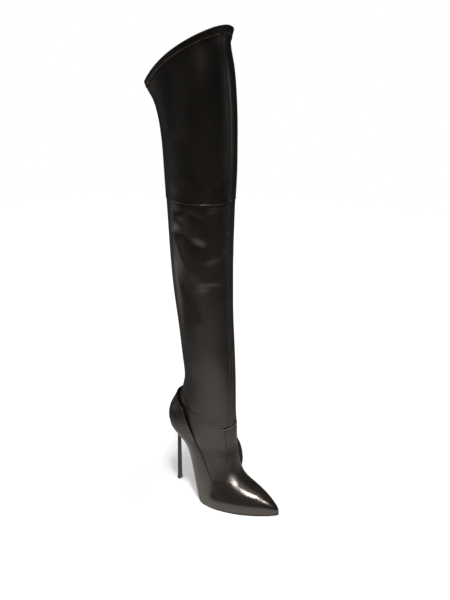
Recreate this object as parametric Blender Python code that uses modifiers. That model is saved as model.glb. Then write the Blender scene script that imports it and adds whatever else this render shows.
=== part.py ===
"""Over-the-knee boot with a pointed toe and a blade heel, for the right foot.

The boot stands on its heel tip and on the flat tread under the ball of the foot.
+Z is up, the toe points along -Y, and the wearer's left, the inner side, is +X.
Tables and sizes are in millimetres; the meshes are made in metres. The origin is
the bottom centre of the finished boot's bounding box.

Every leather piece comes from one surface, skin(). It is a loft through the rows of
SECTIONS, each of which cuts the boot square to its front line: across the vamp at the
toe, through instep and heel at the arch, and level around the leg.
"""

import math

import bmesh
import bpy
import numpy as np

MM = 0.001

# ---------------------------------------------------------------- driving sizes
UPPER_WALL = 1.8          # lined calf leather of the foot
SHAFT_WALL = 1.5          # bonded stretch leather of the leg
QUARTER_WALL = 1.4        # stiffened pump quarter around the heel
THIGH_LAP = 0.6           # the thigh piece stands this much proud of the leg
GAP = 0.3                 # clearance between neighbouring pieces
SOLE_GAP = 0.45           # clearance of the outsole under the last
SOLE_THICKNESS = 2.5
SOLE_INSET = 0.6          # the sole edge lies this far inside the upper's edge
INSOLE_THICKNESS = 1.4
INSOLE_INSET = 2.8
TREAD_TOP = SOLE_THICKNESS + SOLE_GAP   # height of the upper's edge over the flat tread

HEEL_U = -1.5             # centre of the blade, forward of the reference point
HEEL_X = 2.0
BLADE_DEPTH = 5.0         # fore and aft
BLADE_WIDTH_TOP = 4.2
BLADE_WIDTH_BOTTOM = 7.4
BLADE_TOP_Z = 89.0
BLADE_POWER = 7.0         # how square the blade's section is
SEAT_LENGTH = 30.0        # the blade spreads into this oval under the heel seat
SEAT_WIDTH = 25.0
SEAT_CENTRE_U = 9.0
TOP_PIECE_HEIGHT = 6.5
TOP_PIECE_DEPTH = 5.8
TOP_PIECE_WIDTH = 8.2

COLUMNS_PER_SIDE = 13     # facets from the front line round one side to the far line
QUARTER_COLUMNS = 8       # facets from the topline down to the sole
SOLE_COLUMNS = 6          # facets across the sole
BLADE_FACETS = 24         # facets around the heel
SPREAD_STEPS = 6          # rings where the blade spreads under the seat
HEEL_STEPS = 6            # rows that draw the round back of the heel seat
FOOT_STEP = 9.0           # spacing of rows along the foot
PEAK_STEP = 2.0           # spacing of the quarter's last rows, under its peak
LEG_STEP = 24.0           # spacing of rows up the leg
WELD = 0.02               # points this close are one point

# ------------------------------------------------------------------- sections
# A row for each section. front and far are its ends in the side view: u is forward
# of the heel tip, z is up. The far end lies on the sole, or on the back of the leg.
# half is the half width, and edge is the share of it left where the sole begins: past
# seat_front it falls to nothing at seat_back, where the sections close round the heel
# and the leg. front_x and far_x place the middle line, the right-foot curve.
# front_round and far_round are the shares of the section that round over at each
# end, with the given power.
# dip is the sag of the slanted rim, deepest towards the back of each side.
SECTION_COLUMNS = (
    "front_u", "front_z", "far_u", "far_z", "half", "edge",
    "front_x", "far_x", "front_round", "far_round", "power", "dip",
)
SECTIONS = (
    ("tip", 209.8, 8.4, 209.8, 8.4, 0.0, 0.95, 11.6, 11.6, 0.95, 0.20, 2.1, 0.0),
    ("tip_round", 208.9, 12.2, 208.2, 6.6, 2.6, 0.95, 11.3, 11.3, 0.95, 0.20, 2.1, 0.0),
    ("toe", 205.0, 17.2, 203.3, 5.4, 7.0, 0.95, 10.8, 10.4, 0.95, 0.25, 2.1, 0.0),
    ("toe_box", 197.0, 24.0, 194.0, 4.2, 12.7, 0.95, 9.6, 8.2, 0.95, 0.30, 2.1, 0.0),
    ("toe_back", 183.0, 32.0, 177.0, 3.0, 21.6, 0.96, 8.2, 4.6, 0.95, 0.30, 2.1, 0.0),
    ("vamp_low", 166.5, 38.6, 155.0, 2.6, 30.8, 0.97, 6.8, 1.0, 0.95, 0.30, 2.1, 0.0),
    ("ball", 150.5, 44.6, 130.0, 2.6, 37.4, 0.97, 5.4, -1.6, 0.95, 0.30, 2.1, 0.0),
    ("vamp", 139.5, 49.8, 106.0, 2.6, 38.8, 0.97, 4.6, -4.2, 0.90, 0.35, 2.1, 0.0),
    ("throat", 131.5, 57.0, 86.0, 4.8, 36.0, 0.95, 4.8, -5.2, 0.80, 0.40, 2.1, 0.0),
    ("seam", 128.4, 61.4, 80.0, 12.4, 34.8, 0.93, 4.7, -5.0, 0.75, 0.42, 2.1, 0.0),
    ("waist_low", 126.0, 66.2, 75.0, 21.0, 33.8, 0.90, 4.6, -4.8, 0.70, 0.45, 2.1, 0.0),
    ("waist", 122.8, 76.2, 62.5, 51.0, 32.2, 0.80, 4.6, -3.8, 0.62, 0.50, 2.1, 0.0),
    ("waist_high", 120.5, 85.5, 44.0, 87.5, 32.4, 0.70, 4.6, -2.2, 0.55, 0.55, 2.2, 0.0),
    ("seat_front", 118.5, 93.0, 19.0, 105.0, 33.2, 0.66, 4.6, -0.7, 0.50, 0.55, 2.3, 0.0),
    ("seat", 116.8, 100.0, 1.0, 113.2, 33.6, 0.60, 4.6, 0.0, 0.48, 0.58, 2.4, 0.0),
    ("seat_back", 116.6, 107.0, -8.6, 120.0, 34.4, 0.60, 4.5, 0.5, 0.46, 0.60, 2.4, 0.0),
    ("counter", 116.0, 117.0, -11.5, 134.0, 35.0, 0.70, 4.9, 1.9, 0.44, 0.58, 2.4, 0.0),
    ("counter_top", 115.6, 126.0, -7.0, 150.0, 35.2, 0.70, 4.9, 3.4, 0.42, 0.58, 2.3, 0.0),
    ("ankle", 115.2, 135.0, 4.0, 167.0, 35.4, 0.70, 4.9, 4.4, 0.42, 0.58, 2.2, 0.0),
    ("peak", 114.7, 143.0, 8.9, 173.8, 35.8, 0.70, 4.9, 4.8, 0.46, 0.54, 2.1, 0.0),
    ("leg_180", 114.0, 174.0, 19.8, 204.0, 36.4, 0.70, 4.8, 4.8, 0.50, 0.50, 2.0, 0.0),
    ("leg_220", 113.2, 210.0, 21.2, 228.0, 37.4, 0.70, 4.3, 4.3, 0.50, 0.50, 2.0, 0.0),
    ("leg_250", 111.8, 250.0, 19.2, 256.0, 39.6, 0.70, 3.2, 3.2, 0.50, 0.50, 2.0, 0.0),
    ("leg_300", 109.2, 300.0, 16.0, 300.0, 41.8, 0.70, 1.6, 1.6, 0.50, 0.50, 2.0, 0.0),
    ("calf_380", 109.0, 380.0, 7.7, 380.0, 45.2, 0.70, -1.5, -1.5, 0.50, 0.50, 2.0, 0.0),
    ("calf_460", 110.4, 460.0, 2.8, 460.0, 48.4, 0.70, -2.4, -2.4, 0.50, 0.50, 2.0, 0.0),
    ("knee", 112.4, 516.0, 0.0, 516.0, 50.8, 0.70, -2.5, -2.5, 0.50, 0.50, 2.0, 0.0),
    ("thigh_570", 115.0, 570.0, -3.0, 570.0, 53.2, 0.70, -2.8, -2.8, 0.50, 0.50, 2.0, 0.0),
    ("thigh_640", 115.0, 650.0, -7.2, 624.0, 55.4, 0.70, -4.2, -4.2, 0.50, 0.50, 2.0, 0.0),
    ("rim_low", 109.5, 725.0, -18.0, 662.0, 57.3, 0.70, -5.8, -6.5, 0.50, 0.50, 2.0, 4.0),
    ("rim_fold", 103.0, 759.0, -24.0, 676.0, 59.5, 0.70, -7.0, -9.0, 0.50, 0.50, 2.0, 8.0),
    ("rim", 106.5, 779.5, -31.0, 690.5, 62.0, 0.70, -5.5, -8.5, 0.50, 0.50, 2.0, 11.0),
)
DIP_POWER = 3.1

# The quarter's topline. outer and inner are where it crosses a section on each side,
# as shares of the way from the front to the far end. outer_gap, inner_gap and far_gap
# are the quarter's clearance over the upper at the topline on each side and at the
# section's far end: it gapes most on the inner side of the arch and behind the ankle.
TOPLINE_COLUMNS = ("outer", "inner", "outer_gap", "inner_gap", "far_gap")
TOPLINE = (
    ("seam", 0.500, 0.400, 1.1, 1.4, 0.9),
    ("waist_low", 0.470, 0.180, 1.1, 3.2, 0.9),
    ("waist", 0.505, 0.110, 1.1, 4.6, 0.9),
    ("waist_high", 0.530, 0.105, 1.1, 4.8, 0.9),
    ("seat_front", 0.490, 0.160, 1.2, 4.2, 1.0),
    ("seat", 0.450, 0.230, 1.4, 3.4, 1.2),
    ("seat_back", 0.435, 0.280, 1.8, 2.8, 1.3),
    ("counter", 0.470, 0.350, 2.3, 2.6, 1.4),
    ("counter_top", 0.550, 0.480, 3.0, 3.0, 1.9),
    ("ankle", 0.720, 0.700, 4.0, 4.0, 3.0),
    ("peak", 1.000, 1.000, 4.8, 4.8, 4.8),
)
GAP_FALL = 1.5            # how fast the clearance closes below the topline


# ------------------------------------------------------------- surface of the last
def spline_bends(knots, values):
    """Second derivatives of the natural cubic spline through a table's rows."""
    count = len(knots)
    width = np.diff(knots)
    matrix = np.eye(count)
    right = np.zeros_like(values)
    for i in range(1, count - 1):
        matrix[i, i - 1] = width[i - 1]
        matrix[i, i] = 2 * (width[i - 1] + width[i])
        matrix[i, i + 1] = width[i]
        rise = (values[i + 1] - values[i]) / width[i]
        fall = (values[i] - values[i - 1]) / width[i - 1]
        right[i] = 6 * (rise - fall)
    return np.linalg.solve(matrix, right)


def section_knots(values):
    """Parameter of each section: it grows with the distance its ends travel."""
    travel = np.linalg.norm(np.diff(values[:, :4], axis=0), axis=1)
    return np.concatenate([[0.0], np.cumsum(np.sqrt(travel))])


NAMES = [row[0] for row in SECTIONS]
VALUES = np.array([row[1:] for row in SECTIONS])
KNOTS = section_knots(VALUES)
BENDS = spline_bends(KNOTS, VALUES)


def at(name):
    """Parameter of the named section."""
    return KNOTS[NAMES.index(name)]


TOPLINE_KNOTS = [at(row[0]) for row in TOPLINE]


def section(s):
    """The section at parameter s, as a dictionary of the table's columns."""
    i = int(np.clip(np.searchsorted(KNOTS, s, side="right") - 1, 0, len(KNOTS) - 2))
    width = KNOTS[i + 1] - KNOTS[i]
    a = (KNOTS[i + 1] - s) / width
    b = (s - KNOTS[i]) / width
    bend = ((a**3 - a) * BENDS[i] + (b**3 - b) * BENDS[i + 1]) * width**2 / 6
    row = dict(zip(SECTION_COLUMNS, a * VALUES[i] + b * VALUES[i + 1] + bend))
    heel = (s - at("seat_front")) / (at("seat_back") - at("seat_front"))
    row["edge"] *= math.sqrt(1 - min(max(heel, 0.0), 1.0) ** 2)
    row["dip"] = max(row["dip"], 0.0)
    row["half"] = max(row["half"], 0.0)
    row["far_z"] = max(row["far_z"], TREAD_TOP)
    return row


def skin(s, share, side):
    """Point on the leather: section s, share of the way back, side +1 inner, -1 outer."""
    row = section(s)
    power = row["power"]
    front = max(1 - share / row["front_round"], 0.0)
    far = max(1 - (1 - share) / row["far_round"], 0.0)
    closing = (1 - front**power) ** (1 / power)
    tuck = max(1 - (1 - row["edge"] ** power) * far**power, 0.0) ** (1 / power)
    middle = row["front_x"] + (row["far_x"] - row["front_x"]) * share
    u = row["front_u"] + (row["far_u"] - row["front_u"]) * share
    z = row["front_z"] + (row["far_z"] - row["front_z"]) * share
    z -= row["dip"] * math.sin(math.pi * share**DIP_POWER)
    return np.array([middle + side * row["half"] * closing * tuck, -u, z])


def side_line(s, start, side, count):
    """count + 1 points spaced evenly by length, from share start to the far end."""
    turns = np.linspace(math.acos(1 - 2 * start), math.pi, 12 * count)
    dense = np.array([skin(s, (1 - math.cos(turn)) / 2, side) for turn in turns])
    lengths = np.linalg.norm(np.diff(dense, axis=0), axis=1)
    along = np.concatenate([[0.0], np.cumsum(lengths)])
    even = np.linspace(0.0, along[-1], count + 1)
    return np.column_stack([np.interp(even, along, dense[:, k]) for k in range(3)])


def ring(s):
    """A section's points, from the outer far end over the front to the inner far end."""
    outer = side_line(s, 0.0, -1, COLUMNS_PER_SIDE)
    inner = side_line(s, 0.0, 1, COLUMNS_PER_SIDE)
    return np.concatenate([outer[::-1], inner[1:]])


# ------------------------------------------------------------ rows along the last
def travel(s0, s1):
    """Distances that the front and the far end move between two parameters."""
    start, end = section(s0), section(s1)
    front = math.hypot(end["front_u"] - start["front_u"], end["front_z"] - start["front_z"])
    far = math.hypot(end["far_u"] - start["far_u"], end["far_z"] - start["far_z"])
    return front, far


def stations(first, last, spacing):
    """Parameters from one named section to another, about a spacing apart."""
    names = NAMES[NAMES.index(first):NAMES.index(last) + 1]
    result = [at(first)]
    for lower, upper in zip(names[:-1], names[1:]):
        cuts = max(1, round(max(travel(at(lower), at(upper))) / spacing))
        result += list(np.linspace(at(lower), at(upper), cuts + 1)[1:])
    return result


def heel_stations():
    """Parameters that draw the round back of the heel seat, closing up towards it."""
    start, end = at("seat_front"), at("seat_back")
    turns = np.linspace(0.0, math.pi / 2, HEEL_STEPS + 1)
    return [start + (end - start) * math.sin(turn) for turn in turns]


def foot_stations(first):
    """Parameters along the foot, from the named section round the heel to the ankle."""
    ahead = stations(first, "seat_front", FOOT_STEP)
    behind = stations("seat_back", "ankle", FOOT_STEP)
    return ahead[:-1] + heel_stations() + behind[1:]


def past(s, distance):
    """Parameter where both ends of the section have moved on by a distance."""
    end = s
    while min(travel(s, end)) < distance:
        end += 0.01
    return end


def topline(s):
    """The topline table read at parameter s."""
    columns = zip(*[row[1:] for row in TOPLINE])
    return dict(zip(TOPLINE_COLUMNS, [np.interp(s, TOPLINE_KNOTS, c) for c in columns]))


# ------------------------------------------------------------------ mesh helpers
def material(name, colour, roughness, metallic=0.0):
    """A Principled material."""
    result = bpy.data.materials.new(name)
    result.use_nodes = True
    shader = result.node_tree.nodes["Principled BSDF"]
    shader.inputs["Base Color"].default_value = (*colour, 1.0)
    shader.inputs["Roughness"].default_value = roughness
    shader.inputs["Metallic"].default_value = metallic
    return result


def sheet(name, rows, clearances, gaps_after=()):
    """An open sheet of quads through rows of points, each moved out along its normal.

    gaps_after lists the columns that aren't joined to the next one. Points that
    coincide are welded, so a row may close on itself or shrink to a point.
    """
    shape = bmesh.new()
    layer = shape.verts.layers.float.new("clearance")
    lines = []
    for row, clearance in zip(rows, clearances):
        line = [shape.verts.new(point * MM) for point in row]
        for vertex, amount in zip(line, clearance):
            vertex[layer] = amount
        lines.append(line)
    for lower, upper in zip(lines[:-1], lines[1:]):
        for j in range(len(lower) - 1):
            if j not in gaps_after:
                shape.faces.new((lower[j], lower[j + 1], upper[j + 1], upper[j]))
    bmesh.ops.remove_doubles(shape, verts=shape.verts, dist=WELD * MM)
    bmesh.ops.dissolve_degenerate(shape, edges=shape.edges, dist=WELD * MM)
    shape.normal_update()
    for vertex in shape.verts:
        vertex.co += vertex.normal * vertex[layer] * MM
    mesh = bpy.data.meshes.new(name)
    shape.to_mesh(mesh)
    shape.free()
    return mesh


def add_object(name, mesh, finish, collection):
    """Link a mesh object with its own material, shaded smooth."""
    result = bpy.data.objects.new(name, mesh)
    mesh.materials.append(finish)
    mesh.shade_smooth()
    mesh.set_sharp_from_angle(angle=math.radians(40))
    collection.objects.link(result)
    return result


def solidify(target, thickness, offset):
    """Give an open sheet its wall: offset -1 goes inwards and 1 outwards."""
    wall = target.modifiers.new("Wall", "SOLIDIFY")
    wall.thickness = thickness * MM
    wall.offset = offset
    wall.use_even_offset = False


# -------------------------------------------------------------------- the pieces
def build_tube(name, parameters, lift, wall, finish, collection):
    """A leather tube through the given sections, lifted off the last by a distance."""
    rows = [ring(s) for s in parameters]
    clearances = [[lift] * len(row) for row in rows]
    tube = add_object(name, sheet(name, rows, clearances), finish, collection)
    solidify(tube, wall, -1)


def build_leathers(collection):
    """Upper, shaft and thigh piece: one above the other, each with its own wall."""
    upper_leather = material("upper_leather", (0.020, 0.016, 0.013), 0.28)
    shaft_leather = material("shaft_leather", (0.030, 0.024, 0.020), 0.42)
    thigh_leather = material("thigh_leather", (0.022, 0.018, 0.015), 0.45)
    build_tube("upper", foot_stations("tip"), 0.0, UPPER_WALL, upper_leather, collection)
    leg = stations("ankle", "knee", LEG_STEP)
    leg[0] = past(leg[0], 1.5 * GAP)
    build_tube("shaft", leg, 0.0, SHAFT_WALL, shaft_leather, collection)
    thigh = stations("knee", "rim", LEG_STEP)
    thigh[0] = past(thigh[0], GAP)
    build_tube("thigh_panel", thigh, THIGH_LAP, SHAFT_WALL, thigh_leather, collection)


def build_quarter(collection):
    """The proud pump quarter, from the waist round the heel, under its topline."""
    rows = []
    clearances = []
    fall = np.linspace(1.0, 0.0, QUARTER_COLUMNS + 1) ** GAP_FALL
    for s in foot_stations("seam") + stations("ankle", "peak", PEAK_STEP)[1:]:
        top = topline(s)
        outer = side_line(s, top["outer"], -1, QUARTER_COLUMNS)
        inner = side_line(s, top["inner"], 1, QUARTER_COLUMNS)
        inner_gaps = top["far_gap"] + (top["inner_gap"] - top["far_gap"]) * fall
        outer_gaps = top["far_gap"] + (top["outer_gap"] - top["far_gap"]) * fall
        rows.append(np.concatenate([inner, outer[::-1]]))
        clearances.append(np.concatenate([inner_gaps, outer_gaps[::-1]]))
    mesh = sheet("quarter", rows, clearances, gaps_after=(QUARTER_COLUMNS,))
    leather = material("quarter_leather", (0.018, 0.014, 0.012), 0.30)
    solidify(add_object("quarter", mesh, leather, collection), QUARTER_WALL, 1)


def bottom_rows(inset, narrowest):
    """Rows across the bottom of the last, an inset inside the upper's edge all round."""
    parameters = stations("tip", "seat_front", FOOT_STEP)[:-1] + heel_stations()
    sections = [section(s) for s in parameters]
    ends = np.array([(row["far_u"], row["far_z"]) for row in sections])
    half = np.array([row["half"] * row["edge"] for row in sections])
    along = np.cumsum(np.linalg.norm(np.diff(ends, axis=0, prepend=ends[:1]), axis=1))
    half -= inset * np.sqrt(1 + np.gradient(half, along) ** 2)
    rows = []
    for row, reach in zip(sections, half):
        if reach > narrowest:
            across = np.linspace(-reach, reach, SOLE_COLUMNS + 1) + row["far_x"]
            rows.append(np.array([(x, -row["far_u"], row["far_z"]) for x in across]))
    return rows


def build_plate(name, rows, lift, thickness, offset, finish, collection):
    """A sole plate: a sheet along the bottom of the last, lifted, with a thickness."""
    clearances = [[lift] * len(row) for row in rows]
    plate = add_object(name, sheet(name, rows, clearances), finish, collection)
    solidify(plate, thickness, offset)


def build_soles(collection):
    """The outsole, flat under the ball, and the insole that lies on it."""
    outsole_leather = material("outsole_leather", (0.030, 0.026, 0.024), 0.55)
    rows = bottom_rows(SOLE_INSET, 0.8)
    build_plate("outsole", rows, -SOLE_GAP, SOLE_THICKNESS, -1, outsole_leather, collection)
    insole_leather = material("insole_leather", (0.16, 0.12, 0.09), 0.60)
    rows = bottom_rows(INSOLE_INSET, 3.0)
    build_plate("insole", rows, 0.0, INSOLE_THICKNESS, 1, insole_leather, collection)


def seat_height(u):
    """Height of the outsole's underside at the heel seat, less the clearance."""
    parameters = np.linspace(at("seat_back"), at("waist_high"), 60)
    bottom = np.array([(section(s)["far_u"], section(s)["far_z"]) for s in parameters])
    slope = np.gradient(bottom[:, 1], bottom[:, 0])
    drop = (SOLE_THICKNESS + 2.5 * GAP) * np.sqrt(1 + slope**2)
    return float(np.interp(u, bottom[:, 0], bottom[:, 1] - drop))


def blade_ring(centre_u, centre_x, depth, width, power, height):
    """A rounded rectangle, or an oval at power 2; height gives z at each u."""
    points = []
    for turn in np.linspace(0.0, 2 * math.pi, BLADE_FACETS, endpoint=False):
        across = math.copysign(abs(math.cos(turn)) ** (2 / power), math.cos(turn))
        along = math.copysign(abs(math.sin(turn)) ** (2 / power), math.sin(turn))
        u = centre_u - along * depth / 2
        points.append(np.array([centre_x + across * width / 2, -u, height(u)]))
    return points


def build_heel(collection):
    """The metal blade, which spreads into an oval against the heel seat."""
    foot = TOP_PIECE_HEIGHT + GAP
    rows = [[np.array([HEEL_X, -HEEL_U, foot])] * BLADE_FACETS]
    for share in np.linspace(0.0, 1.0, 6):
        width = BLADE_WIDTH_BOTTOM + (BLADE_WIDTH_TOP - BLADE_WIDTH_BOTTOM) * share
        level = foot + (BLADE_TOP_Z - foot) * share
        ring_here = blade_ring(
            HEEL_U, HEEL_X, BLADE_DEPTH, width, BLADE_POWER, lambda u, z=level: z
        )
        rows.append(ring_here)
    for share in np.linspace(0.0, 1.0, SPREAD_STEPS + 1)[1:]:
        spread = share**2.5
        depth = BLADE_DEPTH + (SEAT_LENGTH - BLADE_DEPTH) * spread
        width = BLADE_WIDTH_TOP + (SEAT_WIDTH - BLADE_WIDTH_TOP) * spread
        centre_u = HEEL_U + (SEAT_CENTRE_U - HEEL_U) * spread
        centre_x = HEEL_X * (1 - spread)
        power = BLADE_POWER + (2.2 - BLADE_POWER) * min(1.0, 1.6 * share)
        rise = lambda u, k=share: BLADE_TOP_Z + (seat_height(u) - BLADE_TOP_Z) * k
        rows.append(blade_ring(centre_u, centre_x, depth, width, power, rise))
    for share in (0.6, 0.3, 0.0):
        depth, width = SEAT_LENGTH * share, SEAT_WIDTH * share
        rows.append(blade_ring(SEAT_CENTRE_U, 0.0, depth, width, 2.2, seat_height))
    rows = [row + [row[0]] for row in rows]
    clearances = [[0.0] * len(row) for row in rows]
    steel = material("heel_steel", (0.035, 0.033, 0.032), 0.22, 1.0)
    add_object("heel", sheet("heel", rows, clearances), steel, collection)


def build_top_piece(collection):
    """The replaceable rubber tip that the blade stands on."""
    bpy.ops.mesh.primitive_cube_add(size=1.0)
    block = bpy.context.object
    block.name = "top_piece"
    block.data.name = "top_piece"
    size = np.array([TOP_PIECE_WIDTH, TOP_PIECE_DEPTH, TOP_PIECE_HEIGHT]) * MM
    place = np.array([HEEL_X, -HEEL_U, TOP_PIECE_HEIGHT / 2]) * MM
    for vertex in block.data.vertices:
        vertex.co = [c * k + p for c, k, p in zip(vertex.co, size, place)]
    edges = block.modifiers.new("Edges", "BEVEL")
    edges.width = 0.4 * MM
    edges.segments = 2
    block.data.materials.append(material("top_piece_rubber", (0.02, 0.02, 0.02), 0.6))
    bpy.context.collection.objects.unlink(block)
    collection.objects.link(block)


def centre_on_origin(collection):
    """Move the whole boot so that its box stands centred on the origin."""
    bpy.context.view_layer.update()
    graph = bpy.context.evaluated_depsgraph_get()
    corners = []
    for piece in collection.objects:
        shape = piece.evaluated_get(graph).to_mesh()
        corners += [tuple(vertex.co) for vertex in shape.vertices]
    low, high = np.min(corners, axis=0), np.max(corners, axis=0)
    for piece in collection.objects:
        piece.location = (-(low[0] + high[0]) / 2, -(low[1] + high[1]) / 2, -low[2])


def main():
    """Clear the scene and build the boot."""
    for old in list(bpy.data.objects):
        bpy.data.objects.remove(old, do_unlink=True)
    boot = bpy.data.collections.new("over_the_knee_boot")
    bpy.context.scene.collection.children.link(boot)
    build_soles(boot)
    build_leathers(boot)
    build_quarter(boot)
    build_heel(boot)
    build_top_piece(boot)
    centre_on_origin(boot)


main()
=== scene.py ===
"""The looks of an over-the-knee boot with a pointed toe and a blade heel.

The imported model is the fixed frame. Every leather piece is cut from one surface, the
skin of the last, and is laid on it with its own lift. Tables and lengths are in
millimetres unless a name says otherwise; meshes are made in metres, in the frame's
own place. A place on the skin is a level, which is the height of its section's front,
and a turn, which is the way round in degrees: 0 is the front line, 180 the back, and
the outer side is negative. The toe points along -Y and the inner side is +X.
"""

import math
from functools import lru_cache

import bmesh
import bpy
import numpy as np
from mathutils import Matrix, Vector


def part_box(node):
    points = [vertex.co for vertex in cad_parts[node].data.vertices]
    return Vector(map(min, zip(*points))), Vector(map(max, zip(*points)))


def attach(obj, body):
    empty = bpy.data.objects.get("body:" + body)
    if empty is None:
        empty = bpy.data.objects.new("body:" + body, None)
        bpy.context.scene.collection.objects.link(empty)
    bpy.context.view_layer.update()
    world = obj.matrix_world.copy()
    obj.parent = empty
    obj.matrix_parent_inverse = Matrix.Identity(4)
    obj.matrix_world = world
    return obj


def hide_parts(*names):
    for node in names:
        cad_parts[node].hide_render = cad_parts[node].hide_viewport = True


bl_info = {
    "name": "Over-the-Knee Boot",
    "version": (1, 0, 0),
    "blender": (4, 5, 0),
    "location": "View3D > Sidebar > Boot",
    "description": "Leathers, trim, stitching, heel, soles and studio for a tall boot",
    "category": "Add Mesh",
}

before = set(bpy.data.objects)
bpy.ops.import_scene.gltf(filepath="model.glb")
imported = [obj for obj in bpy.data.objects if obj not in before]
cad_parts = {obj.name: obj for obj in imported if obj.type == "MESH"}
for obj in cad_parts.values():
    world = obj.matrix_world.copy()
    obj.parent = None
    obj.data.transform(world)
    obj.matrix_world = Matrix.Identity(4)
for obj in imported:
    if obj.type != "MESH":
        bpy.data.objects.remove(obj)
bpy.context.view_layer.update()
MM = 0.001

# ------------------------------------------------------------- tables of the last
SECTION_COLUMNS = (
    "front_u", "front_z", "far_u", "far_z", "half", "edge",
    "front_x", "far_x", "front_round", "far_round", "power", "dip",
)
SECTIONS = (
    ("tip", 209.8, 8.4, 209.8, 8.4, 0.0, 0.95, 11.6, 11.6, 0.95, 0.20, 2.1, 0.0),
    ("tip_round", 208.9, 12.2, 208.2, 6.6, 2.6, 0.95, 11.3, 11.3, 0.95, 0.20, 2.1, 0.0),
    ("toe", 205.0, 17.2, 203.3, 5.4, 7.0, 0.95, 10.8, 10.4, 0.95, 0.25, 2.1, 0.0),
    ("toe_box", 197.0, 24.0, 194.0, 4.2, 12.7, 0.95, 9.6, 8.2, 0.95, 0.30, 2.1, 0.0),
    ("toe_back", 183.0, 32.0, 177.0, 3.0, 21.6, 0.96, 8.2, 4.6, 0.95, 0.30, 2.1, 0.0),
    ("vamp_low", 166.5, 38.6, 155.0, 2.6, 30.8, 0.97, 6.8, 1.0, 0.95, 0.30, 2.1, 0.0),
    ("ball", 150.5, 44.6, 130.0, 2.6, 37.4, 0.97, 5.4, -1.6, 0.95, 0.30, 2.1, 0.0),
    ("vamp", 139.5, 49.8, 106.0, 2.6, 38.8, 0.97, 4.6, -4.2, 0.90, 0.35, 2.1, 0.0),
    ("throat", 131.5, 57.0, 86.0, 4.8, 36.0, 0.95, 4.8, -5.2, 0.80, 0.40, 2.1, 0.0),
    ("seam", 128.4, 61.4, 80.0, 12.4, 34.8, 0.93, 4.7, -5.0, 0.75, 0.42, 2.1, 0.0),
    ("waist_low", 126.0, 66.2, 75.0, 21.0, 33.8, 0.90, 4.6, -4.8, 0.70, 0.45, 2.1, 0.0),
    ("waist", 122.8, 76.2, 62.5, 51.0, 32.2, 0.80, 4.6, -3.8, 0.62, 0.50, 2.1, 0.0),
    ("waist_high", 120.5, 85.5, 44.0, 87.5, 32.4, 0.70, 4.6, -2.2, 0.55, 0.55, 2.2, 0.0),
    ("seat_front", 118.5, 93.0, 19.0, 105.0, 33.2, 0.66, 4.6, -0.7, 0.50, 0.55, 2.3, 0.0),
    ("seat", 116.8, 100.0, 1.0, 113.2, 33.6, 0.60, 4.6, 0.0, 0.48, 0.58, 2.4, 0.0),
    ("seat_back", 116.6, 107.0, -8.6, 120.0, 34.4, 0.60, 4.5, 0.5, 0.46, 0.60, 2.4, 0.0),
    ("counter", 116.0, 117.0, -11.5, 134.0, 35.0, 0.70, 4.9, 1.9, 0.44, 0.58, 2.4, 0.0),
    ("counter_top", 115.6, 126.0, -7.0, 150.0, 35.2, 0.70, 4.9, 3.4, 0.42, 0.58, 2.3, 0.0),
    ("ankle", 115.2, 135.0, 4.0, 167.0, 35.4, 0.70, 4.9, 4.4, 0.42, 0.58, 2.2, 0.0),
    ("peak", 114.7, 143.0, 8.9, 173.8, 35.8, 0.70, 4.9, 4.8, 0.46, 0.54, 2.1, 0.0),
    ("leg_180", 114.0, 174.0, 19.8, 204.0, 36.4, 0.70, 4.8, 4.8, 0.50, 0.50, 2.0, 0.0),
    ("leg_220", 113.2, 210.0, 21.2, 228.0, 37.4, 0.70, 4.3, 4.3, 0.50, 0.50, 2.0, 0.0),
    ("leg_250", 111.8, 250.0, 19.2, 256.0, 39.6, 0.70, 3.2, 3.2, 0.50, 0.50, 2.0, 0.0),
    ("leg_300", 109.2, 300.0, 16.0, 300.0, 41.8, 0.70, 1.6, 1.6, 0.50, 0.50, 2.0, 0.0),
    ("calf_380", 109.0, 380.0, 7.7, 380.0, 45.2, 0.70, -1.5, -1.5, 0.50, 0.50, 2.0, 0.0),
    ("calf_460", 110.4, 460.0, 2.8, 460.0, 48.4, 0.70, -2.4, -2.4, 0.50, 0.50, 2.0, 0.0),
    ("knee", 112.4, 516.0, 0.0, 516.0, 50.8, 0.70, -2.5, -2.5, 0.50, 0.50, 2.0, 0.0),
    ("thigh_570", 115.0, 570.0, -3.0, 570.0, 53.2, 0.70, -2.8, -2.8, 0.50, 0.50, 2.0, 0.0),
    ("thigh_640", 115.0, 650.0, -7.2, 624.0, 55.4, 0.70, -4.2, -4.2, 0.50, 0.50, 2.0, 0.0),
    ("rim_low", 109.5, 725.0, -18.0, 662.0, 57.3, 0.70, -5.8, -6.5, 0.50, 0.50, 2.0, 4.0),
    ("rim_fold", 103.0, 759.0, -24.0, 676.0, 59.5, 0.70, -7.0, -9.0, 0.50, 0.50, 2.0, 8.0),
    ("rim", 106.5, 779.5, -31.0, 690.5, 62.0, 0.70, -5.5, -8.5, 0.50, 0.50, 2.0, 11.0),
)
DIP_POWER = 3.1
TREAD_TOP = 2.95          # height of the upper's edge over the flat tread
CHEEK_HEIGHT = 93.0       # the cheeks of the instep fill out above this height
CHEEK = 1.05              # by so much, and hollow by as much below it

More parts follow.
